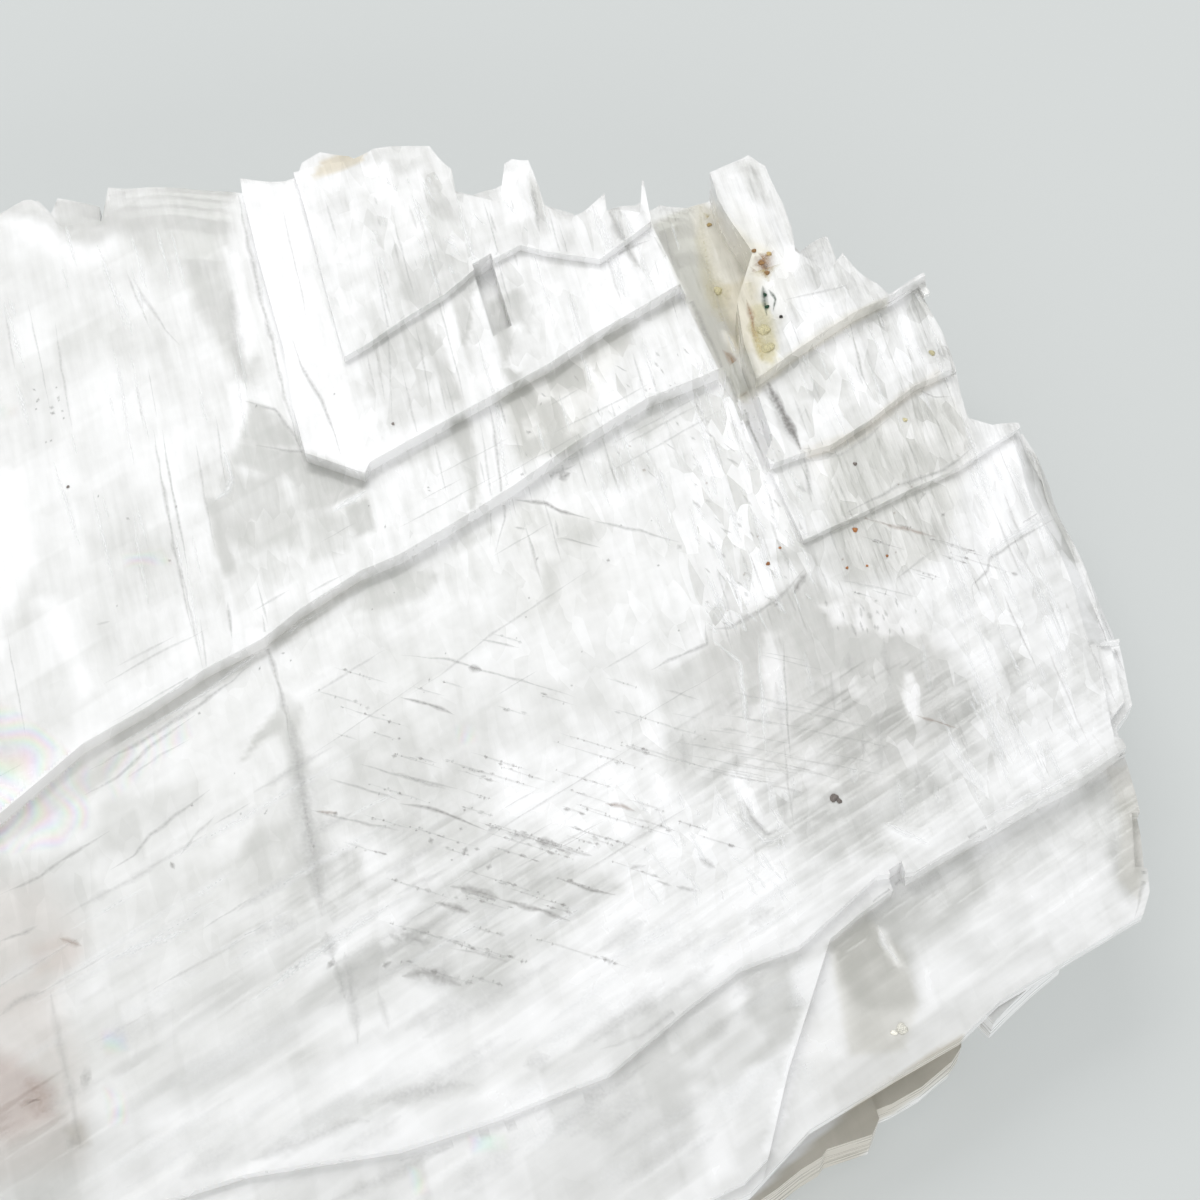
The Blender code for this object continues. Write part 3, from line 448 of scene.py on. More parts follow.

# Cracks, edges and fibres that lie in the surface, with a few soft bands of painted shade on risers:
# kind, width in pixels, course in picture pixels.
MARKS = [
    # left field
    ("grey", 3, [(153, 430), (165, 500), (180, 575), (192, 630)]),
    ("grey", 2, [(162, 430), (174, 500), (188, 570)]),
    ("hair", 2, [(180, 560), (192, 620), (203, 672)]),
    ("hair", 2, [(195, 440), (205, 500), (215, 550)]),
    ("hair", 2, [(55, 320), (62, 370), (72, 430)]),
    ("hair", 2, [(5, 310), (15, 370)]),
    ("hair", 2, [(125, 270), (150, 330)]),
    ("hair", 3, [(130, 275), (165, 330), (180, 345)]),
    ("white", 3, [(170, 230), (178, 262), (185, 290)]),
    ("soft", 12, [(232, 290), (236, 340), (246, 385)]),
    ("soft", 10, [(105, 196), (150, 192), (225, 190)]),
    ("hair", 2, [(96, 625), (110, 622)]),
    ("grey", 3, [(228, 602), (232, 640)]),
    ("hair", 2, [(256, 580), (268, 624)]),
    ("hair", 2, [(200, 620), (207, 670)]),
    # the bright band, its dark edge and the face below it
    ("grey", 4, [(236, 186), (246, 232), (258, 290), (269, 330), (278, 370), (286, 400), (297, 442)]),
    ("hair", 2, [(280, 200), (292, 250), (303, 300), (307, 330)]),
    ("grey", 3, [(292, 340), (300, 365), (310, 382), (323, 402), (332, 425), (342, 456)]),
    ("grey", 3, [(245, 402), (275, 410), (290, 430), (300, 448)]),
    ("grey", 3, [(255, 446), (280, 450), (302, 452), (322, 459), (346, 468), (362, 476), (366, 486)]),
    ("grey", 2, [(300, 452), (322, 459), (346, 468)]),
    ("white", 5, [(222, 445), (232, 480), (228, 492), (215, 502)]),
    ("white", 7, [(332, 513), (350, 501), (366, 492)]),
    # the crown and its two risers
    ("grey", 3, [(350, 360), (372, 345), (405, 315)]),
    ("hair", 2, [(375, 345), (385, 400)]),
    ("hair", 2, [(415, 320), (425, 370), (432, 415)]),
    ("hair", 2, [(372, 250), (388, 330), (392, 420)]),
    ("grey", 3, [(366, 471), (395, 458), (420, 443), (460, 421), (500, 393)]),
    ("grey", 4, [(500, 393), (540, 369), (570, 350), (625, 318)]),
    # Painted shade: a soft grey band on the riser below this line.
    ("soft", 16, [(506, 402), (545, 378), (585, 354), (626, 328)]),
    ("grey", 3, [(600, 265), (625, 251), (650, 240)]),
    ("hair", 2, [(625, 318), (655, 300), (682, 284)]),
    ("white", 3, [(602, 256), (630, 242), (660, 228)]),
    ("dark", 4, [(478, 268), (495, 270)]),
    ("grey", 6, [(606, 206), (622, 238), (640, 270)]),
    ("white", 4, [(618, 202), (634, 240), (654, 290)]),
    ("white", 4, [(596, 210), (610, 245), (624, 284)]),
    ("grey", 4, [(530, 182), (540, 232)]),
    ("white", 5, [(556, 172), (562, 206)]),
    ("dark", 3, [(513, 486), (545, 466), (580, 448)]),
    ("grey", 5, [(520, 491), (548, 477), (577, 464)]),
    ("white", 3, [(522, 484), (550, 469), (578, 456)]),
    ("dark", 7, [(559, 480), (571, 474)]),
    ("grey", 5, [(646, 410), (675, 396)]),
    ("grey", 3, [(487, 400), (494, 430), (497, 452), (505, 520), (495, 552)]),
    ("white", 3, [(494, 400), (502, 450), (512, 520)]),
    ("hair", 2, [(480, 420), (492, 500), (490, 548)]),
    ("grey", 3, [(415, 548), (450, 531), (490, 508)]),
    # Painted shade: a soft grey band on the riser below the line above.
    ("soft", 14, [(450, 540), (470, 526), (494, 510)]),
    ("hair", 2, [(555, 520), (558, 540)]),
    ("grey", 2, [(560, 538), (600, 548)]),
    ("grey", 2, [(514, 527), (527, 530)]),
    # the recess, the riser below it and the blocks to its right
    ("clay", 15, [(700, 200), (704, 240), (712, 285), (726, 330), (742, 366)]),
    ("clay", 12, [(716, 210), (730, 240), (742, 262), (752, 300)]),
    ("ochre", 8, [(703, 214), (714, 224), (720, 236)]),
    ("clay", 16, [(706, 284), (720, 294), (730, 300)]),
    ("clay", 20, [(757, 304), (764, 324), (769, 344), (766, 364)]),
    ("dark", 6, [(764, 374), (776, 398), (788, 424), (800, 450)]),
    ("grey", 3, [(738, 394), (748, 420), (758, 446), (766, 464)]),
    ("ochre", 12, [(750, 318), (757, 340), (762, 362)]),
    ("rust", 7, [(722, 350), (736, 366), (748, 378)]),
    ("rust", 5, [(746, 300), (752, 322), (756, 344)]),
    ("ochre", 22, [(742, 240), (752, 252), (762, 264), (768, 282)]),
    ("rust", 17, [(745, 244), (756, 250), (765, 262), (766, 278)]),
    ("rust", 10, [(752, 272), (762, 258), (771, 254)]),
    ("brown", 11, [(755, 256), (763, 264), (766, 274)]),
    ("soot", 5, [(759, 260), (763, 265), (765, 270)]),
    ("moss", 5, [(763, 286), (765, 300), (767, 316)]),
    ("moss", 3, [(768, 290), (775, 299), (772, 312)]),
    ("grey", 4, [(652, 232), (672, 268), (700, 320), (735, 395), (752, 432), (765, 466)]),
    ("white", 4, [(725, 330), (735, 355), (750, 378)]),
    ("hair", 3, [(700, 250), (716, 300), (734, 352)]),
    ("dark", 5, [(764, 376), (772, 394), (786, 420), (796, 440), (804, 456)]),
    ("grey", 8, [(760, 380), (774, 404), (790, 434), (802, 456)]),
    ("grey", 3, [(768, 462), (786, 457), (803, 453)]),
    ("grey", 4, [(803, 455), (808, 480), (812, 502)]),
    ("brown", 6, [(738, 398), (762, 380), (782, 357), (802, 346)]),
    ("grey", 5, [(802, 346), (826, 331), (850, 314), (884, 300)]),
    ("hair", 2, [(785, 300), (806, 295), (830, 290), (848, 285)]),
    ("grey", 2, [(848, 318), (855, 345), (862, 375), (875, 400)]),
    ("dark", 4, [(803, 450), (830, 447), (860, 430), (880, 411)]),
    ("grey", 4, [(880, 411), (900, 396), (940, 371)]),
    ("hair", 3, [(808, 462), (840, 455), (866, 440), (890, 418)]),
    ("grey", 2, [(915, 388), (935, 398), (950, 397)]),
    ("grey", 3, [(845, 515), (900, 485), (945, 470), (975, 446)]),
    ("hair", 3, [(852, 522), (902, 494), (948, 478)]),
    ("brown", 2, [(848, 514), (860, 517), (871, 521)]),
    ("brown", 3, [(870, 520), (900, 528), (936, 538)]),
    ("hair", 2, [(840, 580), (880, 588), (920, 598)]),
    ("hair", 2, [(895, 580), (920, 560), (938, 548)]),
    ("dark", 4, [(941, 514), (944, 517)]),
    # the right-hand field
    ("grey", 3, [(975, 602), (972, 586), (988, 571), (990, 558), (1010, 545), (1055, 518)]),
    ("white", 5, [(980, 560), (1004, 542), (1050, 514)]),
    # Painted shade: a soft grey band on the bevel strip of the right rim.
    ("soft", 10, [(1030, 452), (1052, 492), (1074, 556)]),
    ("white", 4, [(1022, 440), (1046, 480), (1084, 560), (1104, 606), (1134, 690)]),
    ("grey", 3, [(1115, 758), (1080, 780), (1050, 800), (980, 830), (930, 862), (900, 880), (868, 906),
        (828, 941)]),
    # Painted shade: a soft grey band on the riser below this line.
    ("soft", 16, [(1110, 776), (1060, 806), (1000, 836), (940, 872), (900, 896)]),
    ("white", 4, [(1112, 750), (1078, 772), (1046, 790), (978, 820)]),
    ("grey", 4, [(1132, 772), (1142, 820), (1144, 880), (1134, 918)]),
    ("grey", 3, [(990, 1032), (1020, 1008), (1060, 984), (1100, 954), (1132, 926)]),
    # the large clear window
    ("grey", 3, [(650, 670), (690, 651), (708, 645), (705, 622)]),
    ("grey", 4, [(706, 630), (730, 628), (760, 612), (780, 598), (805, 570)]),
    ("dark", 5, [(793, 594), (807, 574)]),
    ("dark", 6, [(774, 604), (777, 607)]),
    ("white", 4, [(712, 640), (740, 664), (744, 700), (748, 740)]),
    ("white", 3, [(758, 636), (762, 700), (766, 756)]),
    ("hair", 2, [(783, 740), (790, 800), (795, 830)]),
    ("grey", 2, [(783, 640), (786, 700), (790, 760)]),
    ("hair", 2, [(800, 700), (825, 708), (850, 715)]),
    ("hair", 2, [(790, 765), (840, 780)]),
    ("hair", 2, [(665, 690), (700, 700)]),
    ("brown", 2, [(915, 715), (960, 730)]),
    ("white", 5, [(884, 824), (908, 834), (930, 845)]),
    ("white", 5, [(735, 786), (746, 820), (764, 842), (790, 834)]),
    ("grey", 4, [(741, 796), (752, 820), (768, 834), (784, 828)]),
    # inclusion rows along the third direction, and single spots
    ("dark", 3, [(515, 500), (545, 504), (560, 512), (590, 520)]),
    ("grey", 2, [(590, 520), (640, 531), (680, 543)]),
    ("grey", 4, [(677, 545), (681, 550)]),
    ("dark", 3, [(400, 803), (430, 808), (460, 820), (487, 832)]),
    ("grey", 5, [(487, 832), (500, 826)]),
    ("grey", 5, [(505, 832), (535, 840)]),
    ("dark", 7, [(535, 840), (562, 848)]),
    ("grey", 4, [(562, 848), (592, 856)]),
    ("dark", 7, [(450, 887), (475, 891), (500, 899)]),
    ("dark", 4, [(500, 899), (545, 912), (570, 921)]),
    ("dark", 6, [(435, 902), (450, 906), (470, 913)]),
    ("grey", 7, [(400, 935), (415, 940), (432, 944)]),
    ("dark", 6, [(402, 977), (430, 972), (446, 980), (462, 987)]),
    ("soft", 18, [(400, 972), (436, 974), (462, 984)]),
    ("grey", 2, [(450, 948), (480, 954), (510, 963)]),
    ("grey", 2, [(400, 655), (450, 660), (480, 670), (510, 678), (575, 697)]),
    ("dark", 6, [(468, 667), (482, 671)]),
    ("grey", 2, [(480, 640), (520, 648)]),
    ("dark", 3, [(400, 697), (430, 705), (455, 715)]),
    ("grey", 2, [(400, 775), (460, 790)]),
    ("brown", 3, [(605, 803), (622, 806), (636, 811)]),
    ("grey", 5, [(630, 869), (646, 866)]),
    ("grey", 3, [(655, 880), (672, 886)]),
    ("grey", 4, [(676, 886), (697, 892)]),
    ("grey", 5, [(699, 858), (716, 868)]),
    ("dark", 3, [(555, 878), (585, 888), (616, 896)]),
    ("grey", 3, [(310, 810), (350, 820), (400, 831)]),
    ("grey", 3, [(330, 780), (366, 790), (400, 800)]),
    ("grey", 3, [(360, 765), (400, 776), (450, 790)]),
    ("brown", 3, [(316, 811), (338, 814)]),
    ("dark", 5, [(333, 813), (338, 815)]),
    ("dark", 6, [(428, 842), (434, 840)]),
    ("dark", 4, [(462, 850), (468, 852)]),
    ("dark", 5, [(486, 866), (492, 868)]),
    ("soft", 12, [(254, 930), (272, 928)]),
    ("soft", 16, [(270, 928), (298, 922)]),
    ("dark", 6, [(328, 962), (334, 966)]),
    ("grey", 6, [(390, 934), (402, 942)]),
    ("dark", 4, [(382, 966), (392, 962)]),
    # long thin lines of the main face
    ("hair", 2, [(410, 695), (440, 675), (490, 635), (545, 600), (590, 570)]),
    ("grey", 4, [(262, 615), (265, 640), (275, 670), (283, 700), (290, 740)]),
    ("hair", 8, [(288, 706), (293, 740), (300, 780), (306, 812), (312, 845)]),
    ("hair", 12, [(304, 800), (312, 850), (322, 916)]),
    ("soft", 26, [(292, 720), (300, 780), (308, 830), (322, 910)]),
    ("grey", 8, [(326, 932), (334, 960)]),
    ("grey", 4, [(334, 960), (345, 1000)]),
    ("grey", 5, [(345, 952), (352, 1000), (358, 1044)]),
    ("hair", 3, [(378, 990), (388, 1030)]),
    ("white", 7, [(250, 1002), (300, 966), (350, 930), (402, 898)]),
    ("white", 6, [(110, 960), (160, 940), (190, 930)]),
    # the lowest long riser, at the left
    ("grey", 3, [(0, 820), (40, 790), (85, 746), (150, 712), (200, 681), (265, 643), (300, 619),
        (355, 581)]),
    ("grey", 4, [(90, 771), (150, 736), (200, 706), (250, 666)]),
    ("grey", 3, [(85, 795), (120, 775), (150, 746), (195, 716)]),
    ("hair", 2, [(125, 780), (160, 755), (190, 740)]),
    ("white", 3, [(120, 745), (200, 696), (260, 652), (330, 606)]),
    ("grey", 3, [(0, 895), (40, 876), (60, 861), (110, 831)]),
    ("grey", 3, [(110, 871), (135, 856), (150, 836), (175, 816), (210, 790)]),
    ("hair", 3, [(180, 856), (195, 836), (215, 816)]),
    ("grey", 3, [(0, 942), (20, 934), (38, 926)]),
    ("brown", 4, [(60, 938), (82, 946)]),
    ("dark", 4, [(170, 862), (174, 870)]),
    # the near side
    ("grey", 4, [(0, 1016), (16, 1002), (46, 990)]),
    ("grey", 4, [(50, 992), (56, 1020), (62, 1056), (72, 1100), (80, 1146)]),
    ("brown", 16, [(26, 1078), (42, 1098), (36, 1120)]),
    ("dark", 7, [(80, 1076), (92, 1078)]),
    ("grey", 6, [(66, 1140), (84, 1146)]),
    ("grey", 4, [(800, 951), (770, 957), (740, 966), (690, 1000), (640, 1036), (600, 1050)]),
    ("grey", 5, [(522, 1066), (550, 1056)]),
    ("grey", 6, [(400, 1161), (450, 1145), (500, 1130), (560, 1104), (612, 1090), (650, 1062)]),
    ("mist", 10, [(440, 1176), (500, 1146), (560, 1118), (612, 1104)]),
    ("grey", 7, [(250, 1160), (300, 1143), (350, 1121), (370, 1122)]),
    ("grey", 6, [(370, 1104), (410, 1094), (450, 1086), (474, 1086)]),
    ("grey", 6, [(330, 1202), (380, 1180), (450, 1147)]),
    ("grey", 16, [(190, 1186), (226, 1176)]),
    ("white", 10, [(800, 955), (796, 1000), (802, 1060), (820, 1096)]),
    ("white", 5, [(878, 926), (884, 944), (900, 962)]),
]

# Families of fine marks strewn at random over a field: kind, how many, least and greatest length
# and width in pixels, direction in the picture in degrees below the horizontal, and the field.
FAMILIES = [
    ("hair", 5, (30, 150), 1.2, 80, [(0, 220), (230, 220), (260, 420), (150, 640), (0, 760)]),
    ("white", 12, (30, 120), 2.2, 79, [(100, 200), (240, 200), (250, 500), (180, 640), (90, 660)]),
    ("hair", 12, (30, 130), 1.5, 76, [(300, 190), (460, 200), (480, 400), (380, 450), (330, 330)]),
    ("white", 14, (30, 110), 2.4, 74, [(400, 200), (690, 200), (700, 300), (480, 400)]),
    ("hair", 12, (20, 90), 1.5, 74, [(400, 200), (690, 200), (700, 300), (480, 400)]),
    ("hair", 16, (20, 80), 1.5, 75, [(380, 480), (500, 410), (700, 320), (760, 470), (700, 560),
        (420, 590)]),
    ("white", 22, (20, 80), 2.4, 73, [(500, 400), (700, 320), (760, 470), (700, 560), (560, 500)]),
    ("hair", 22, (12, 60), 2.0, 72, [(690, 380), (740, 400), (800, 470), (820, 600), (700, 640),
        (690, 520)]),
    ("white", 40, (14, 70), 3.0, 70, [(690, 380), (740, 400), (800, 470), (830, 600), (700, 640)]),
    ("hair", 24, (20, 70), 1.6, 70, [(790, 300), (920, 290), (960, 400), (940, 600), (810, 600)]),
    ("white", 18, (20, 60), 2.2, 68, [(790, 300), (920, 290), (960, 400), (860, 440), (800, 420)]),
    ("grey", 18, (6, 16), 2.4, 74, [(815, 600), (920, 600), (920, 636), (830, 630)]),
    ("white", 54, (20, 110), 3.0, 67, [(950, 450), (1030, 440), (1130, 680), (1100, 750), (960, 800)]),
    ("hair", 26, (20, 110), 1.6, 67, [(950, 450), (1030, 440), (1130, 680), (1100, 750), (960, 800)]),
    ("hair", 26, (30, 120), 1.5, 11, [(664, 680), (780, 650), (850, 690), (850, 800), (680, 790)]),
    ("soft", 12, (20, 70), 6, 84, [(660, 690), (940, 640), (960, 800), (700, 830)]),
    ("mist", 10, (20, 70), 6, 82, [(660, 690), (940, 640), (960, 800), (700, 830)]),
    ("hair", 20, (40, 200), 1.5, -31, [(0, 760), (360, 590), (700, 560), (640, 900), (300, 1000),
        (0, 1100)]),
    ("mist", 22, (50, 220), 6.0, -30, [(0, 860), (300, 760), (620, 900), (560, 1120), (200, 1190),
        (0, 1100)]),
    ("soft", 18, (50, 200), 8.0, -30, [(0, 860), (300, 760), (640, 900), (560, 1160), (200, 1190),
        (0, 1100)]),
    ("mist", 26, (40, 130), 8.0, -32, [(560, 960), (800, 880), (830, 1060), (640, 1190), (480, 1190)]),
    ("soft", 20, (30, 120), 8.0, -35, [(560, 960), (800, 880), (830, 1060), (640, 1190), (480, 1190)]),
    ("hair", 16, (40, 160), 1.6, -29, [(60, 700), (500, 430), (680, 330), (690, 460), (380, 620),
        (140, 740)]),
    ("dark", 50, (2, 5), 2.6, 20, [(20, 380), (560, 400), (700, 560), (620, 900), (300, 980),
        (100, 740)]),
    ("brown", 14, (2, 5), 2.6, 20, [(600, 380), (960, 400), (940, 600), (700, 640)]),
    ("dark", 12, (2, 6), 2.6, 20, [(14, 380), (60, 384), (70, 450), (24, 446)]),
    ("white", 44, (8, 34), 2.6, 60, [(640, 790), (790, 780), (800, 900), (640, 900)]),
    ("white", 46, (6, 22), 2.4, 55, [(690, 380), (740, 400), (800, 470), (820, 600), (700, 640)]),
    ("grey", 40, (5, 18), 1.7, 40, [(690, 380), (740, 400), (800, 470), (820, 600), (700, 640)]),
    ("grey", 30, (5, 18), 1.6, 50, [(500, 400), (700, 330), (700, 480), (520, 470)]),
    ("white", 30, (6, 26), 2.2, 60, [(360, 170), (540, 180), (520, 262), (380, 300)]),
    ("hair", 8, (10, 40), 1.5, 72, [(360, 170), (540, 180), (520, 262), (380, 300)]),
    ("white", 14, (20, 90), 3.0, 74, [(0, 230), (140, 260), (150, 560), (0, 620)]),
]

# Dotted rows of inclusions, ROW_DIRECTION degrees below the horizontal: how many, least and
# greatest length in pixels, dots for every 10 pixels of a row, and the field.
ROW_DIRECTION = 17
ROW_WIDTH = 1.4
ROWS = [
    (34, (30, 150), 1.5, [(320, 750), (470, 745), (600, 840), (600, 900), (520, 990), (330, 960)]),
    (26, (20, 110), 0.9, [(290, 640), (560, 630), (640, 700), (600, 850), (480, 760), (300, 760)]),
    (10, (20, 70), 1.0, [(840, 500), (950, 530), (940, 600), (840, 590)]),
    (8, (20, 60), 0.9, [(600, 780), (700, 800), (700, 890), (600, 880)]),
]

# A family is one of short marks if its greatest length is below SHORT pixels. For short and for
# long marks: by how many degrees their directions vary, and how crooked they are.
SHORT = 40
SHORT_MARKS = (9, 0.06)
LONG_MARKS = (1.2, 0.006)

# Marks have a corner every SAMPLE_STEP pixels and lie MARK_LIFT above the crystal. They break
# off at steps over MARK_STEP_LIMIT and on faces whose normals rise less than MARK_SLOPE.
# Between the picture rows of NEAR_SIDE they grow wider and fainter.
SAMPLE_STEP = 3.5
MARK_LIFT = 0.05 * MM
MARK_STEP_LIMIT = 0.6 * MM
MARK_SLOPE = 0.6
NEAR_SIDE = (880, 1060)

# Thin films between cleavage sheets that show interference colours: the centre of their rings,
# the rings' spacing in pixels, opacity, and outline.
FILMS = [
    ((-8, 805), 17, 0.30, [(-70, 690), (8, 700), (50, 730), (94, 768), (92, 830), (58, 852), (0, 858),
        (-70, 850)]),
    ((-8, 805), 15, 0.20, [(95, 760), (140, 735), (190, 712), (196, 738), (150, 775), (112, 806)]),
    ((396, 1180), 26, 0.32, [(404, 1164), (428, 1168), (434, 1196), (412, 1200)]),
    ((88, 1030), 22, 0.28, [(96, 1028), (126, 1024), (132, 1052), (104, 1062)]),
    ((92, 1100), 22, 0.30, [(100, 1084), (128, 1090), (132, 1126), (106, 1130)]),
    ((460, 1140), 26, 0.30, [(462, 1134), (508, 1130), (512, 1152), (470, 1158)]),
    ((440, 735), 26, 0.26, [(450, 724), (476, 722), (480, 744), (456, 750)]),
    ((140, 590), 14, 0.26, [(116, 552), (164, 546), (178, 566), (124, 572)]),
    ((-20, 410), 18, 0.20, [(-30, 400), (22, 402), (22, 420), (-30, 424)]),
]
FILM_STEP = 3

# Grains stuck to the crystal: colour, width in pixels and place.
CLAY_BROWN = (0.30, 0.17, 0.07)
CLAY_OCHRE = (0.55, 0.40, 0.18)
CLAY_OLIVE = (0.68, 0.62, 0.38)
CLAY_CREAM = (0.92, 0.90, 0.80)
SOOT = (0.02, 0.018, 0.015)
MOSS = (0.02, 0.07, 0.035)
RUST = (0.38, 0.16, 0.06)
SMOKE = (0.24, 0.21, 0.19)
GRAINS = [
    (CLAY_BROWN, 6, (761, 263)), (CLAY_BROWN, 5, (754, 251)), (CLAY_OCHRE, 6, (769, 254)),
    (CLAY_BROWN, 5, (767, 273)), (MOSS, 4, (765, 295)), (MOSS, 5, (767, 307)), (SOOT, 4, (781, 317)),
    (CLAY_OCHRE, 5, (709, 225)), (CLAY_OLIVE, 9, (718, 291)), (CLAY_OLIVE, 12, (764, 330)),
    (CLAY_OLIVE, 12, (768, 348)), (CLAY_OCHRE, 6, (745, 373)), (CLAY_OLIVE, 6, (932, 353)),
    (CLAY_OLIVE, 5, (905, 420)), (RUST, 3, (780, 548)), (RUST, 4, (768, 564)), (RUST, 3, (867, 566)),
    (RUST, 3, (847, 568)), (RUST, 3, (887, 556)), (RUST, 5, (855, 530)), (RUST, 4, (965, 465)),
    (SMOKE, 8, (834, 798)), (SMOKE, 5, (839, 801)), (SMOKE, 4, (855, 464)), (SMOKE, 3, (393, 424)),
    (SMOKE, 3, (68, 487)), (CLAY_CREAM, 10, (902, 1029)), (CLAY_CREAM, 6, (894, 1033)),
]


def picture(points):
    """Picture pixels of points in space, as an array of u and v."""
    offset = points - CAMERA_AT
    depth = offset @ -VIEW_BACK
    half = PICTURE / 2
    u = half + FOCAL_PIXELS * (offset @ VIEW_RIGHT) / depth
    v = half - FOCAL_PIXELS * (offset @ VIEW_UP) / depth
    return np.stack([u, v], 1)


def pixel_ray(u, v):
    """The direction from the camera through a picture pixel."""
    half = PICTURE / 2
    ray = -VIEW_BACK + (VIEW_RIGHT * (u - half) + VIEW_UP * (half - v)) / FOCAL_PIXELS
    return ray / np.linalg.norm(ray)


def smooth(low, high, value):
    """0 below low, 1 above high and a smooth rise between them."""
    t = np.clip((value - low) / (high - low), 0, 1)
    return t * t * (3 - 2 * t)


def ring_distance(points, ring):
    """Distances from points to a closed ring, negative inside it."""
    hit = np.zeros(len(points), bool)
    near = np.full(len(points), 1e9)
    x, y = points[:, 0], points[:, 1]
    for k in range(len(ring)):
        (x0, y0), (x1, y1) = ring[k - 1], ring[k]
        if y0 != y1:
            crosses = (y0 > y) != (y1 > y)
            hit ^= crosses & (x < x0 + (y - y0) * (x1 - x0) / (y1 - y0))
        run_x, run_y = x1 - x0, y1 - y0
        length = max(run_x ** 2 + run_y ** 2, 1e-18)
        t = np.clip(((x - x0) * run_x + (y - y0) * run_y) / length, 0, 1)
        near = np.minimum(near, np.hypot(x - x0 - t * run_x, y - y0 - t * run_y))
    return np.where(hit, -near, near)


def inside(points, ring, soft):
    """How far points lie inside a ring: 0 to 1 over the softness on either side of its edge."""
    return 1 - smooth(-soft, soft, ring_distance(points, np.array(ring, float)))


def random_table(seed):
    """The random numbers that grain and bricks look up, over and over."""
    return np.random.default_rng(seed).random((TABLE, TABLE))


def grain(x, y, size, seed):
    """Smooth noise from 0 to 1 over a plane. Sizes are those of its lumps."""
    table = random_table(seed)
    i, j = x / size[0] + 1000.0, y / size[1] + 1000.0
    i0, j0 = np.floor(i).astype(int), np.floor(j).astype(int)
    s, t = i - i0, j - j0
    s, t = s * s * (3 - 2 * s), t * t * (3 - 2 * t)
    left, right, low, high = i0 % TABLE, (i0 + 1) % TABLE, j0 % TABLE, (j0 + 1) % TABLE
    near = table[left, low] * (1 - s) + table[right, low] * s
    far = table[left, high] * (1 - s) + table[right, high] * s
    return near * (1 - t) + far * t


def oblique(points):
    """Positions along the long and the cross cleavage, in metres."""
    axes = np.array([
        [math.cos(LONG_CLEAVAGE), math.cos(CROSS_CLEAVAGE)],
        [math.sin(LONG_CLEAVAGE), math.sin(CROSS_CLEAVAGE)],
    ])
    return (points[:, :2] @ np.linalg.inv(axes).T).T


def bricks(a, b, length, width, seed):
    """A random height from -0.5 to 0.5 for each parallelogram of a broken pattern."""
    table = random_table(seed)
    row = np.floor(b / width + 0.5).astype(int)
    shift = table[row % TABLE, 0] * length
    column = np.floor((a + shift) / length).astype(int)
    return table[(column + 17) % TABLE, (row + 31) % TABLE] - 0.5


def tilted(a, b, length, width, seed):
    """Facets of a broken pattern, each tilted by its own amount across its width."""
    within = b / width + 0.5
    within = within - np.floor(within) - 0.5
    return bricks(a, b, length, width, seed) * 2 * within


def crystal_mesh():
    """A copy of the solid with its upper faces cut into a fine lattice along the cleavages."""
    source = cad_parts[SLAB]
    work = bmesh.new()
    work.from_mesh(source.data)
    work.transform(source.matrix_world)
    clean_up(work)
    for tread, terrace in TREADS:
        shift_level(work, tread, terrace)
    clean_up(work)
    close_cuts(work)
    shift_level(work, *WINDOW_FLOOR)
    close_notch(work)
    clean_up(work)
    for edge in list(work.edges):
        split_evenly(edge)
    upper = [f for f in work.faces if f.normal.z > LEVEL]
    loops = [list(f.verts) for f in upper]
    bmesh.ops.delete(work, geom=upper, context="FACES_ONLY")
    for corners in loops:
        fill_lattice(work, corners)
    bmesh.ops.triangulate(work, faces=[f for f in work.faces if len(f.verts) > 4])
    return finished_mesh(work, "crystal")


def finished_mesh(work, name):
    """A new mesh with the shape of an edited one, which is let go."""
    mesh = bpy.data.meshes.new(name)
    work.to_mesh(mesh)
    work.free()
    return mesh


def clean_up(work):
    """Joins corners that meet and faces that lie in one plane."""
    bmesh.ops.remove_doubles(work, verts=work.verts, dist=TOUCH)
    bmesh.ops.dissolve_degenerate(work, edges=work.edges, dist=TOUCH)
    bmesh.ops.dissolve_limit(work, angle_limit=ONE_PLANE, verts=work.verts, edges=work.edges)


def shift_level(work, old, new):
    """Moves every corner at one height to another."""
    for vert in work.verts:
        if abs(vert.co.z - old) < TOUCH:
            vert.co.z = new


def close_cuts(work):
    """Closes the shallow cuts in the terraces, where blades have parted but hardly moved."""
    for floor in [f for f in work.faces if f.normal.z > LEVEL]:
        low = floor.verts[0].co.z
        if low < LOWEST_TERRACE or floor.calc_area() > CUT_AREA:
            continue
        rises = [e.other_vert(v).co.z - low for v in floor.verts for e in v.link_edges]
        rises = [rise for rise in rises if LEAST_CUT < rise < CUT_DEPTH]
        if len(rises) < 2:
            continue
        walls = {f for e in floor.edges for f in e.link_faces if abs(f.normal.z) < UPRIGHT}
        around = walls | {e for f in walls for e in f.edges} | {v for f in walls for v in f.verts}
        bmesh.ops.bisect_plane(
            work, geom=list(around), dist=TOUCH,
            plane_co=(0, 0, low + min(rises)), plane_no=(0, 0, 1),
        )
        for vert in floor.verts:
            vert.co.z += min(rises)


def close_notch(work):
    """Draws the notch in the riser flush with it."""
    for old, new in NOTCH:
        for vert in work.verts:
            if (vert.co.xy - Vector(old)).length < NOTCH_REACH:
                vert.co.xy = new


def split_evenly(edge):
    """Cuts an edge into equal lengths no longer than EDGE_STEP."""
    parts = math.ceil(edge.calc_length() / EDGE_STEP)
    corner = edge.verts[0]
    for left in range(parts, 1, -1):
        other, corner = bmesh.utils.edge_split(edge, corner, 1 / left)
        edge = max(edge, other, key=lambda e: e.calc_length())


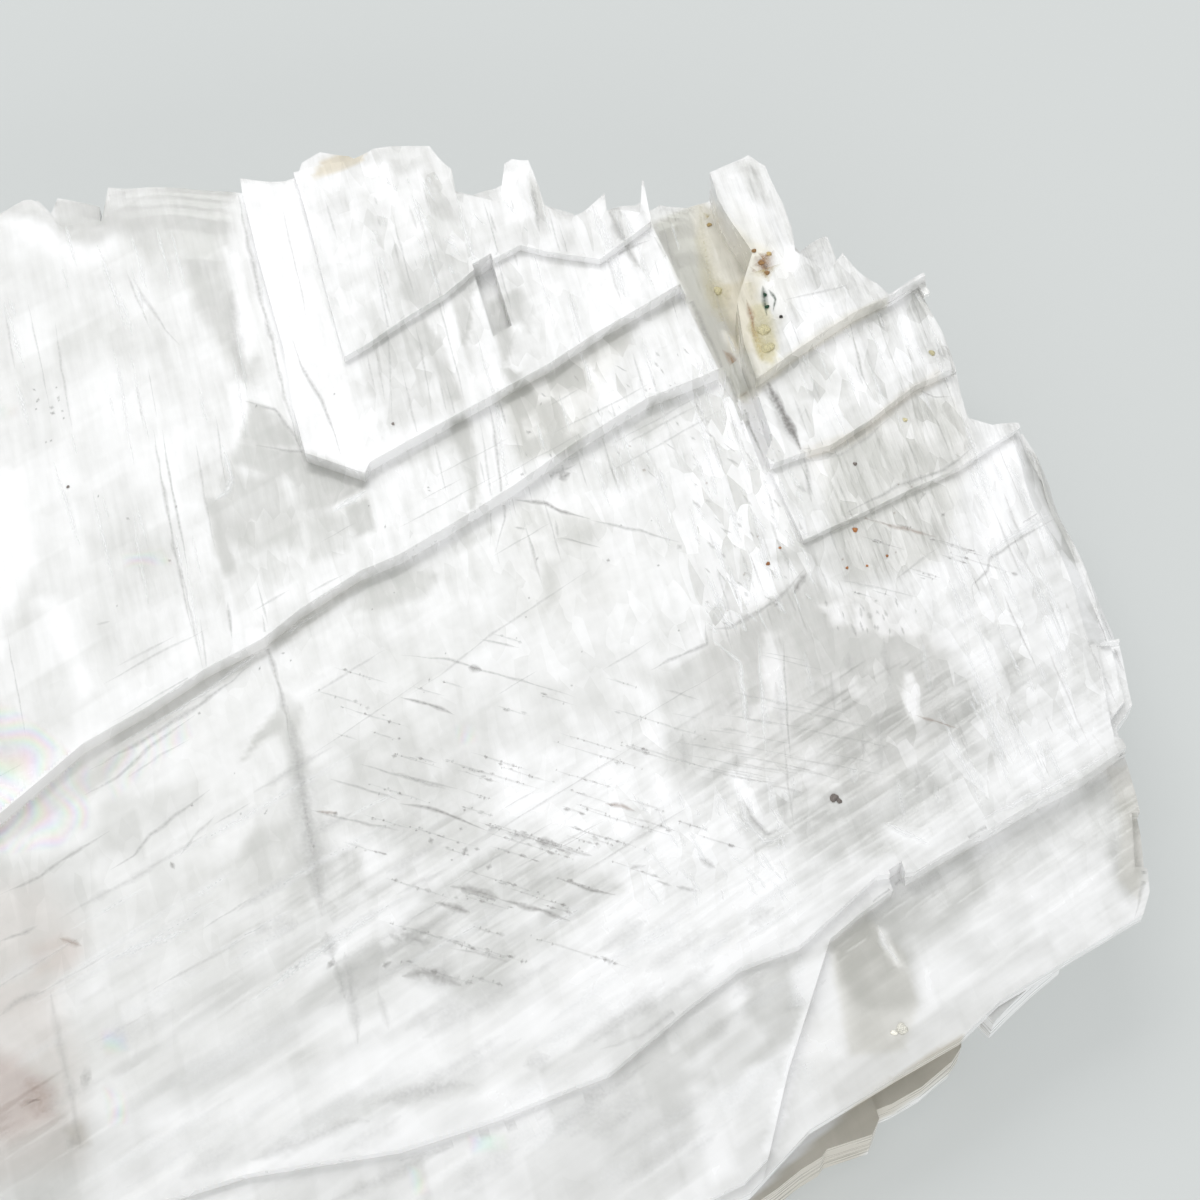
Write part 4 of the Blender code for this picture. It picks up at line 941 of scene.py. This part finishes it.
def lattice_points(ring):
    """The lattice's points that lie well within a ring, in metres."""
    axes = LATTICE * np.array([
        [math.cos(LONG_CLEAVAGE), math.sin(LONG_CLEAVAGE)],
        [math.cos(CROSS_CLEAVAGE), math.sin(CROSS_CLEAVAGE)],
    ])
    low, high = ring.min(0), ring.max(0)
    box = np.array([low, [low[0], high[1]], [high[0], low[1]], high])
    steps = box @ np.linalg.inv(axes)
    i = np.arange(math.floor(steps[:, 0].min()), math.ceil(steps[:, 0].max()) + 1)
    j = np.arange(math.floor(steps[:, 1].min()), math.ceil(steps[:, 1].max()) + 1)
    points = np.stack([n.ravel() for n in np.meshgrid(i, j)], 1) @ axes
    return points[ring_distance(points, ring) < -EDGE_GAP]


def fill_lattice(work, corners):
    """Lays triangles over a flat upper face, with inner corners on the lattice."""
    ring = np.array([(v.co.x, v.co.y) for v in corners])
    height = corners[0].co.z
    inner = lattice_points(ring)
    points = [Vector(p / MM) for p in np.concatenate([ring, inner])]
    filled = delaunay_2d_cdt(points, [], [list(range(len(ring)))], 1, 1e-7)
    made = {}
    for number, (place, came_from) in enumerate(zip(filled[0], filled[3])):
        old = [k for k in came_from if k < len(ring)]
        made[number] = corners[old[0]] if old else work.verts.new((*(place * MM), height))
    for loop in filled[2]:
        verts = [made[k] for k in loop]
        if len(set(verts)) < 3:
            continue
        new = work.faces.new(verts)
        new.normal_update()
        if new.normal.z < 0:
            new.normal_flip()


def shifted(points):
    """How far each column of the crystal moves sideways, in metres."""
    level = np.column_stack([points[:, :2], np.full(len(points), SHIFT_LEVEL)])
    pixels = picture(level)
    shift = np.zeros((len(points), 3))
    for centre, (right, down), reach in SHIFTS:
        share = 1 - smooth(0, reach, np.hypot(*(pixels - centre).T))
        shift[:, 0] += share * right * PIXEL_SIZE
        shift[:, 1] -= share * down * PIXEL_SIZE / math.sin(ELEVATION)
    return shift


def painted(pixels, ground, zones):
    """The level at each pixel: that of the ground, with zone after zone painted over it."""
    levels = np.full(len(pixels), ground)
    for level, soft, ring in zones:
        levels += (level - levels) * inside(pixels, ring, soft)
    return levels


def ragged(pixels):
    """Pixels moved a little by noise, which makes the edges of zones irregular."""
    u, v = pixels[:, 0], pixels[:, 1]
    moves = [RAGGED * (grain(u, v, RAGGED_LUMPS, seed) - 0.5) for seed in (1, 2)]
    return np.stack([u + moves[0], v + moves[1]], 1)


def facets(points):
    """Faint flat patches bounded by the two cleavages, as a change of whiteness."""
    a, b = oblique(points)
    broad = bricks(a, b, 11 * MM, 5 * MM, 31)
    fine = bricks(a, b, 5 * MM, 7 * MM, 32)
    cloud = grain(points[:, 0], points[:, 1], (3 * MM, 3 * MM), 33) - 0.5
    return 0.16 * broad + 0.12 * fine + 0.18 * cloud


def stained_and_shaded(pixels):
    """What the crystal's colour is multiplied by at each picture pixel: stains, and painted shade under
    the rim.
    """
    tint = np.ones((len(pixels), 3))
    for colour, soft, ring in STAINS_AND_SHADE:
        tint *= 1 + inside(pixels, ring, soft / 2)[:, None] * (np.array(colour) - 1)
    return tint


def relief(points, cross, along):
    """Low relief of the upper faces: fibres, broken treads and a slow swell, in metres."""
    a, b = oblique(points)
    fibres = 0.5 * bricks(a, b, 1.5 * MM, 14 * MM, 21) + 1.6 * tilted(b, a, 9 * MM, 2.6 * MM, 22)
    treads = 0.5 * bricks(a, b, 13 * MM, 1.5 * MM, 23) + 1.6 * tilted(a, b, 12 * MM, 3.2 * MM, 24)
    swell = grain(points[:, 0], points[:, 1], (9 * MM, 9 * MM), 25) - 0.5
    ripple = grain(points[:, 0], points[:, 1], (2.5 * MM, 2.5 * MM), 26) - 0.5
    across = FIBRE_RELIEF * cross * fibres + TREAD_RELIEF * along * treads
    return MM * (across + SWELL_RELIEF * swell + RIPPLE_RELIEF * ripple)


def direction_shares(pixels):
    """How far the cross fibres and the long streaks show at each pixel."""
    u, v = pixels[:, 0], pixels[:, 1]
    below = smooth(-60, 90, v - (1000 - 0.42 * u))
    right = smooth(560, 760, u) * (1 - smooth(800, 900, v))
    top = 1 - smooth(470, 640, v + 0.3 * (u - 600))
    cross = np.clip(0.25 + 0.75 * np.maximum(top, right), 0, 1) * (1 - 0.75 * below)
    along = np.clip(0.25 + 0.85 * below, 0, 1)
    return cross, along


def fineness(pixels):
    """How strong the grain is: the far middle and right are crisp, the near side is soft."""
    u, v = pixels[:, 0], pixels[:, 1]
    near = smooth(860, 1040, v)
    left = 1 - smooth(60, 330, u)
    return 0.58 - 0.36 * near - 0.26 * left * (1 - near)


def set_numbers(mesh, name, values):
    """Gives each corner of a mesh a number that the material can read."""
    layer = mesh.attributes.new(name, "FLOAT", "POINT")
    layer.data.foreach_set("value", np.asarray(values, np.float32))


def set_colours(mesh, name, colours):
    """Gives each corner of a mesh a colour, and an opacity if there is a fourth column."""
    layer = mesh.attributes.new(name, "FLOAT_COLOR", "POINT")
    opaque = np.ones((len(mesh.vertices), 4), np.float32)
    opaque[:, :colours.shape[1]] = colours
    layer.data.foreach_set("color", opaque.ravel())


def add_piece(name, mesh, material):
    """Puts a piece into the scene that stands for the slab, or for what lies on it."""
    mesh.materials.clear()
    mesh.materials.append(material)
    piece = bpy.data.objects.new(name, mesh)
    bpy.context.scene.collection.objects.link(piece)
    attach(piece, BODY)
    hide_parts(SLAB)
    return piece


def make_crystal():
    """The crystal itself, with its relief and the numbers that its material reads."""
    mesh = crystal_mesh()
    flat = np.empty(len(mesh.vertices) * 3)
    mesh.vertices.foreach_get("co", flat)
    points = flat.reshape(-1, 3)
    points += shifted(points)
    pixels = picture(points)
    cross, along = direction_shares(pixels)
    points[:, 2] += np.where(points[:, 2] > RELIEF_FROM, relief(points, cross, along), 0)
    mesh.vertices.foreach_set("co", points.ravel())
    set_numbers(mesh, "white", painted(ragged(pixels), WHITE_GROUND, WHITE_ZONES) + facets(points))
    set_numbers(mesh, "cross", cross)
    set_numbers(mesh, "along", along)
    set_numbers(mesh, "fine", fineness(pixels))
    set_numbers(mesh, "broken", painted(pixels, BROKEN_GROUND, BROKEN_ZONES))
    set_colours(mesh, "stain_and_shade", stained_and_shaded(pixels))
    mesh.shade_smooth()
    mesh.set_sharp_from_angle(angle=SHARP_EDGE)
    normals = np.empty(len(mesh.polygons) * 3)
    mesh.polygons.foreach_get("normal", normals)
    mesh.polygons.foreach_set("use_smooth", normals[2::3] > UPPER_SIDE)
    return add_piece("crystal", mesh, crystal_material())


class Nodes:
    """A material's node tree, with short calls for the nodes used here."""

    def __init__(self, name):
        self.material = bpy.data.materials.new(name)
        self.material.use_nodes = True
        self.tree = self.material.node_tree
        self.shader = self.tree.nodes["Principled BSDF"]

    def add(self, kind, **settings):
        """A new node of a kind, with its settings."""
        node = self.tree.nodes.new("ShaderNode" + kind)
        for key, value in settings.items():
            setattr(node, key, value)
        return node

    def feed(self, socket, value):
        """Links an output to a socket, or sets the socket to a plain value."""
        if isinstance(value, bpy.types.NodeSocket):
            self.tree.links.new(value, socket)
        else:
            socket.default_value = value

    def fill(self, node, inputs):
        """Feeds a node's inputs, given by name or by number."""
        for key, value in inputs.items():
            self.feed(node.inputs[key], value)

    def math(self, operation, a, b):
        """The sum, difference or product of two numbers."""
        node = self.add("Math", operation=operation)
        self.fill(node, {0: a, 1: b})
        return node.outputs[0]

    def ramp(self, value, low, high, at_low=0.0, at_high=1.0):
        """What a value becomes when low to high are spread over at_low to at_high."""
        node = self.add("MapRange")
        self.fill(node, dict(enumerate((value, low, high, at_low, at_high))))
        return node.outputs[0]

    def curve(self, value, low, high, at_low, at_high):
        """A ramp that eases in and out."""
        ramped = self.ramp(value, low, high, at_low, at_high)
        ramped.node.interpolation_type = "SMOOTHSTEP"
        return ramped

    def grey(self, red, green, blue):
        """A colour from three numbers."""
        node = self.add("CombineColor")
        self.fill(node, {"Red": red, "Green": green, "Blue": blue})
        return node.outputs[0]

    def times(self, colour, tint):
        """A colour multiplied by another."""
        node = self.add("Mix", data_type="RGBA", blend_type="MULTIPLY")
        self.fill(node, {0: 1.0, 6: colour, 7: tint})
        return node.outputs[2]

    def painted(self, name):
        """The numbers or colours painted onto the mesh's corners."""
        return self.add("Attribute", attribute_name=name).outputs

    def place(self):
        """Object coordinates."""
        return self.add("TexCoord").outputs["Object"]

    def turned(self, angle, stretch, rise=2.0):
        """Object coordinates with X across a direction, Y along it squeezed, and Z squeezed."""
        turn = self.add("Mapping", vector_type="TEXTURE")
        rotation = (0, 0, angle - math.pi / 2)
        self.fill(turn, {0: self.place(), "Rotation": rotation, "Scale": (1, stretch, rise)})
        return turn.outputs[0]

    def bent(self, angle, stretch, reach):
        """As turned, with the straight lines bent by noise."""
        straight = self.turned(angle, stretch)
        wave = self.add("TexNoise")
        self.fill(wave, {"Vector": straight, "Scale": 0.4 / reach, "Detail": 0})
        swing = self.add("VectorMath", operation="MULTIPLY_ADD")
        self.fill(swing, {0: wave.outputs["Color"], 1: (reach, reach, reach), 2: straight})
        return swing.outputs[0]

    def noise(self, place, size, detail):
        """Noise whose largest lumps have a size in metres."""
        node = self.add("TexNoise")
        self.fill(node, {"Vector": place, "Scale": 1 / size, "Detail": detail})
        return node.outputs["Fac"]

    def cells(self, place, size):
        """A random number from 0 to 1 for each of the cells into which space is broken."""
        node = self.add("TexVoronoi")
        self.fill(node, {"Vector": place, "Scale": 1 / size})
        split = self.add("SeparateColor")
        self.fill(split, {0: node.outputs["Color"]})
        return split.outputs["Red"]

    def height_of(self, vector):
        """The third part of a vector."""
        node = self.add("SeparateXYZ")
        self.fill(node, {0: vector})
        return node.outputs[2]


def crystal_material():
    """Plain clear gypsum where whiteness is low and milky white where it is high."""
    n = Nodes("crystal")
    fibres = n.noise(n.turned(CROSS_CLEAVAGE, 9), 0.75 * MM, 3)
    streaks = n.noise(n.turned(LONG_CLEAVAGE, 8), 1.0 * MM, 2)
    clouds = n.noise(n.turned(0, 1), 3.0 * MM, 3)
    facet = n.cells(n.bent(CROSS_CLEAVAGE, 2.6, 0.9 * MM), 1.1 * MM)
    fine = n.painted("fine")["Fac"]
    across = n.math("MULTIPLY", n.math("SUBTRACT", fibres, 0.5), n.painted("cross")["Fac"])
    along = n.math("MULTIPLY", n.math("SUBTRACT", streaks, 0.5), n.painted("along")["Fac"])
    grooves = n.math("MULTIPLY", n.math("ADD", across, along), fine)

    # The lower sides are layered in thin beds, and the walls are painted a little whiter: painted light
    # that lifts the shade they stand in.
    upward = n.height_of(n.add("NewGeometry").outputs["True Normal"])
    low = n.ramp(n.height_of(n.place()), *SKIRT_TOP, 1.0, 0.0)
    skirt = n.math("MULTIPLY", low, n.ramp(upward, 0.3, 0.7, 1.0, 0.0))
    beds = n.noise(n.turned(0, 1, 0.07), 7.0 * MM, 3)
    bedding = n.math("MULTIPLY", n.ramp(beds, 0.36, 0.62, -0.25, 0.55), skirt)
    # Painted light: the less a face rises, the whiter it is painted, which lifts the shade of walls and
    # risers.
    side = n.ramp(upward, 0.4, 0.9, 0.22, 0.0)

    drift = n.math("MULTIPLY", n.math("SUBTRACT", clouds, 0.5), n.math("SUBTRACT", 1.0, skirt))
    textured = n.math("ADD", n.math("MULTIPLY", drift, fine), grooves)
    patches = n.math("MULTIPLY", n.math("SUBTRACT", facet, 0.5), n.painted("broken")["Fac"])
    patched = n.math("ADD", n.painted("white")["Fac"], patches)
    inner = n.math("ADD", patched, n.math("ADD", textured, side))
    white = n.math("ADD", inner, bedding)

    shade = n.curve(white, *WHITENESS, *SHADE)
    grey = n.grey(shade, shade, n.curve(white, *WHITENESS, *SHADE_BLUE))
    bump = n.add("Bump")
    n.fill(bump, {"Strength": BUMP_STRENGTH, "Distance": BUMP_DEPTH, "Height": grooves})
    n.fill(n.shader, {
        "Base Color": n.times(grey, n.painted("stain_and_shade")["Color"]),
        "Transmission Weight": n.curve(white, *WHITENESS, *LET_THROUGH),
        "Roughness": n.curve(white, *WHITENESS, *ROUGHNESS),
        "IOR": GYPSUM_IOR,
        "Normal": bump.outputs[0],
    })
    return n.material


def ink_material(name, size, detail, least, roughness):
    """Colour and opacity from the strokes, with the opacity broken up by noise down to a share."""
    n = Nodes(name)
    ink = n.painted("ink")
    gaps = n.ramp(n.noise(n.place(), size, detail), 0.35, 0.6, least, 1.0)
    n.fill(n.shader, {
        "Base Color": ink["Color"],
        "Alpha": n.math("MULTIPLY", ink["Alpha"], gaps),
        "Roughness": roughness,
    })
    return n.material


def grain_material():
    """Dull crumbs in their own colours, mottled by noise."""
    n = Nodes("grain")
    speckle = n.ramp(n.noise(n.place(), 0.12 * MM, 3), 0.3, 0.7, 0.65, 1.3)
    colour = n.times(n.painted("ink")["Color"], n.grey(speckle, speckle, speckle))
    n.fill(n.shader, {"Base Color": colour, "Roughness": 0.8})
    return n.material


class Surface:
    """The crystal as seen along the camera's rays, for laying marks onto it."""

    def __init__(self, crystal):
        mesh = crystal.data
        corners = [v.co for v in mesh.vertices]
        faces = [tuple(p.vertices) for p in mesh.polygons]
        self.tree = BVHTree.FromPolygons(corners, faces)
        self.eye = Vector(CAMERA_AT)

    def under(self, u, v):
        """Where a pixel meets the crystal's upper side, or None."""
        place, normal, _, _ = self.tree.ray_cast(self.eye, Vector(pixel_ray(u, v)))
        if place is None or normal.z < MARK_SLOPE:
            return None
        return place + Vector((0, 0, MARK_LIFT))


class Strokes:
    """Soft ribbons laid in the crystal's surface, gathered into one mesh."""

    def __init__(self, surface, seed):
        self.surface = surface
        self.random = np.random.default_rng(seed)
        self.verts, self.faces, self.inks = [], [], []

    def lay(self, kind, width, course):
        """One mark along a course of picture pixels, thinning out at both ends."""
        colour, opacity = KINDS[kind]
        course = np.array(course, float)
        near = smooth(*NEAR_SIDE, course[:, 1].mean())
        width, opacity = width * (1 + 0.9 * near), opacity * (1 - 0.45 * near)
        legs = np.hypot(*np.diff(course, axis=0).T)
        total = legs.sum()
        count = max(3, math.ceil(total / SAMPLE_STEP) + 1)
        at = np.linspace(0, total, count)
        reached = np.concatenate([[0], np.cumsum(legs)])
        u, v = np.interp(at, reached, course[:, 0]), np.interp(at, reached, course[:, 1])
        du, dv = np.gradient(u), np.gradient(v)
        long = np.hypot(du, dv)
        sway = grain(at + self.random.random() * 1000, at, (14, 1e9), 41) - 0.5
        ends = np.minimum(1, 3.2 * np.minimum(at, total - at) / total + 0.12)
        swell = grain(at + self.random.random() * 1000, at, (9, 1e9), 42)
        half = width * (0.45 + 0.75 * swell) * ends
        before = None
        for k in range(count):
            side = np.array([-dv[k], du[k]]) / long[k]
            middle = np.array([u[k], v[k]]) + side * sway[k] * min(0.6 * width, 2)
            row = [self.surface.under(*(middle + side * half[k] * s)) for s in (-1, 0, 1)]
            if None in row or max(p.z for p in row) - min(p.z for p in row) > MARK_STEP_LIMIT:
                before = None
                continue
            first = len(self.verts)
            self.verts += row
            self.inks += [(*colour, 0.0), (*colour, opacity * (0.4 + 0.6 * ends[k])), (*colour, 0.0)]
            if before is not None and abs(row[1].z - before[1]) < MARK_STEP_LIMIT:
                b = before[0]
                self.faces += [(b, b + 1, first + 1, first), (b + 1, b + 2, first + 2, first + 1)]
            before = (first, row[1].z)

    def draw(self, ring, lengths):
        """A random place in a ring's box, whether it is within the ring, and a random length."""
        low, high = ring.min(0), ring.max(0)
        place = low + self.random.random(2) * (high - low)
        length = lengths[0] + (lengths[1] - lengths[0]) * self.random.random() ** 2
        return place, ring_distance(place[None], ring)[0] <= 0, length

    def strew(self, kind, count, lengths, width, direction, field):
        """Nearly straight marks in one direction at random over a field."""
        ring = np.array(field, float)
        spread, sway = SHORT_MARKS if lengths[1] < SHORT else LONG_MARKS
        while count:
            middle, within, length = self.draw(ring, lengths)
            angle = math.radians(direction + self.random.normal() * spread)
            if not within:
                continue
            run = np.array([math.cos(angle), math.sin(angle)]) * length / 2
            across = np.array([-run[1], run[0]])
            course = [middle + run * t + across * self.random.normal() * sway
                      for t in np.linspace(-1, 1, 5)]
            self.lay(kind, width * (0.6 + 0.8 * self.random.random()), course)
            count -= 1

    def dot_rows(self, count, lengths, density, field):
        """Faint straight rows of inclusions, with dark dots and dashes along them."""
        ring = np.array(field, float)
        angle = math.radians(ROW_DIRECTION)
        run = np.array([math.cos(angle), math.sin(angle)])
        while count:
            start, within, length = self.draw(ring, lengths)
            if not within:
                continue
            count -= 1
            self.lay("hair", ROW_WIDTH, [start, start + run * length])
            for _ in range(round(density * length / 10)):
                dash = 2 + 7 * self.random.random() ** 3
                at = start + run * length * self.random.random() + self.random.normal(size=2)
                kind = "dark" if self.random.random() < 0.4 else "grey"
                self.lay(kind, ROW_WIDTH + 1.8 * self.random.random() ** 2, [at, at + run * dash])

    def finish(self, name, material):
        """Makes a piece of all that was laid, without the corners that no face uses."""
        mesh = bpy.data.meshes.new(name)
        mesh.from_pydata(self.verts, [], self.faces)
        set_colours(mesh, "ink", np.array(self.inks))
        used = bmesh.new()
        used.from_mesh(mesh)
        bmesh.ops.delete(used, geom=[v for v in used.verts if not v.link_faces], context="VERTS")
        used.to_mesh(mesh)
        used.free()
        mesh.shade_smooth()
        piece = add_piece(name, mesh, material)
        # Traces this fine don't need to show in other surfaces, which saves time.
        piece.visible_diffuse = False
        piece.visible_glossy = False
        piece.visible_transmission = False


def make_films(surface):
    """Rings of pale interference colours, as a fine sheet over the crystal."""
    sheet = Strokes(surface, 7)
    for centre, spacing, opacity, outline in FILMS:
        ring = np.array(outline, float)
        low, high = ring.min(0), ring.max(0)
        columns = np.arange(low[0], high[0] + FILM_STEP, FILM_STEP)
        rows = np.arange(low[1], high[1] + FILM_STEP, FILM_STEP)
        numbers = {}
        for i, u in enumerate(columns):
            for j, v in enumerate(rows):
                place = surface.under(u, v)
                if place is None:
                    continue
                away = ring_distance(np.array([[u, v]]), ring)[0]
                wave = grain(np.array([u]), np.array([v]), (34, 34), 51)[0] - 0.5
                radius = math.hypot(u - centre[0], v - centre[1]) + 1.6 * spacing * wave
                turn = 2 * math.pi * radius / spacing
                colour = [0.78 + 0.22 * math.cos(turn + third * 2 * math.pi / 3) for third in range(3)]
                numbers[i, j] = len(sheet.verts)
                sheet.verts.append(place + Vector((0, 0, MARK_LIFT)))
                sheet.inks.append((*colour, opacity * (1 - smooth(-9, 0, away))))
        for i, j in numbers:
            square = [numbers.get(k) for k in ((i, j), (i, j + 1), (i + 1, j + 1), (i + 1, j))]
            if None in square:
                continue
            heights = [sheet.verts[k].z for k in square]
            if max(heights) - min(heights) < MARK_STEP_LIMIT and any(sheet.inks[k][3] for k in square):
                sheet.faces.append(tuple(square))
    sheet.finish("thin_films", ink_material("film", 1.6 * MM, 2, 0.25, 0.25))


def make_grains(surface):
    """Small flattened crumbs of clay and dirt, sunk in the crystal's surface."""
    random = np.random.default_rng(8)
    work = bmesh.new()
    colour_layer = work.verts.layers.float_color.new("ink")
    for colour, width, (u, v) in GRAINS:
        place = surface.under(u, v)
        if place is None:
            continue
        radius = width * PIXEL_SIZE / 2
        made = bmesh.ops.create_icosphere(work, subdivisions=3, radius=radius)["verts"]
        stretch = Vector((1, 0.75 + 0.4 * random.random(), 0.45))
        phase = random.random(3) * 6
        shade = 0.8 + 0.4 * random.random()
        for vert in made:
            x, y, z = vert.co / radius * 2.6
            lump = math.sin(x + phase[0]) * math.sin(y + phase[1])
            lump += 0.6 * math.sin(2.3 * z + x + phase[2])
            vert.co = vert.co * stretch * (1 + 0.22 * lump) + place
            vert[colour_layer] = (*(c * shade for c in colour), 1.0)
    mesh = finished_mesh(work, "grains")
    mesh.shade_smooth()
    add_piece("clay_grains", mesh, grain_material())


def make_marks(crystal):
    """All that lies on the crystal: films, grains, single marks, fine marks and dotted rows."""
    surface = Surface(crystal)
    material = ink_material("mark", 0.3 * MM, 0, 0.7, 0.5)
    make_films(surface)
    make_grains(surface)
    lines = Strokes(surface, 5)
    for kind, width, course in MARKS:
        lines.lay(kind, width, course)
    # These traces include soft bands of painted shade on the risers.
    lines.finish("cleavage_traces_and_shade", material)
    strewn = Strokes(surface, 6)
    for family in FAMILIES:
        strewn.strew(*family)
    for row in ROWS:
        strewn.dot_rows(*row)
    strewn.finish("fine_fibres", material)


def make_floor():
    """The plain pale floor, just below the slab."""
    bpy.ops.mesh.primitive_plane_add(size=FLOOR_SIDE, location=(0, 0, -FLOOR_DROP))
    floor = bpy.context.object
    floor.name = "floor"
    n = Nodes("floor")
    n.fill(n.shader, {
        "Base Color": FLOOR,
        "Emission Color": FLOOR_GLOW,
        "Emission Strength": FLOOR_GLOW_STRENGTH,
        "Roughness": 0.95,
        "Specular IOR Level": 0.1,
    })
    floor.data.materials.append(n.material)


def add_light(name, place, size, power):
    """A soft rectangular lamp aimed at the slab."""
    lamp = bpy.data.lights.new(name, "AREA")
    lamp.shape = "RECTANGLE"
    lamp.size, lamp.size_y = size
    lamp.energy = power
    holder = bpy.data.objects.new(name, lamp)
    bpy.context.scene.collection.objects.link(holder)
    holder.location = place
    aim = Vector(TARGET) - holder.location
    holder.rotation_euler = aim.to_track_quat("-Z", "Y").to_euler()


def make_lights():
    """An even sky and the two lamps."""
    world = bpy.data.worlds.new("studio")
    world.use_nodes = True
    bpy.context.scene.world = world
    sky = world.node_tree.nodes["Background"]
    sky.inputs["Color"].default_value = SKY
    sky.inputs["Strength"].default_value = SKY_STRENGTH
    for lamp in LAMPS:
        add_light(*lamp)


def make_camera():
    """The camera, with the photo's view."""
    scene = bpy.context.scene
    lens = bpy.data.cameras.new("camera")
    lens.lens = LENS
    lens.sensor_width = SENSOR
    lens.clip_start = CLIP_START
    camera = bpy.data.objects.new("camera", lens)
    scene.collection.objects.link(camera)
    camera.location = Vector(CAMERA_AT)
    camera.rotation_mode = "QUATERNION"
    camera.rotation_quaternion = Vector(-VIEW_BACK).to_track_quat("-Z", "Y")
    scene.camera = camera


def set_light_paths():
    """Plain colours, and no more bounces of light than the crystal needs."""
    scene = bpy.context.scene
    scene.view_settings.view_transform = "Standard"
    scene.cycles.use_light_tree = False
    scene.cycles.max_bounces = 6
    scene.cycles.transmission_bounces = 5
    scene.cycles.diffuse_bounces = 3
    scene.cycles.glossy_bounces = 3
    scene.cycles.transparent_max_bounces = 24


make_marks(make_crystal())
make_floor()
make_lights()
make_camera()
set_light_paths()
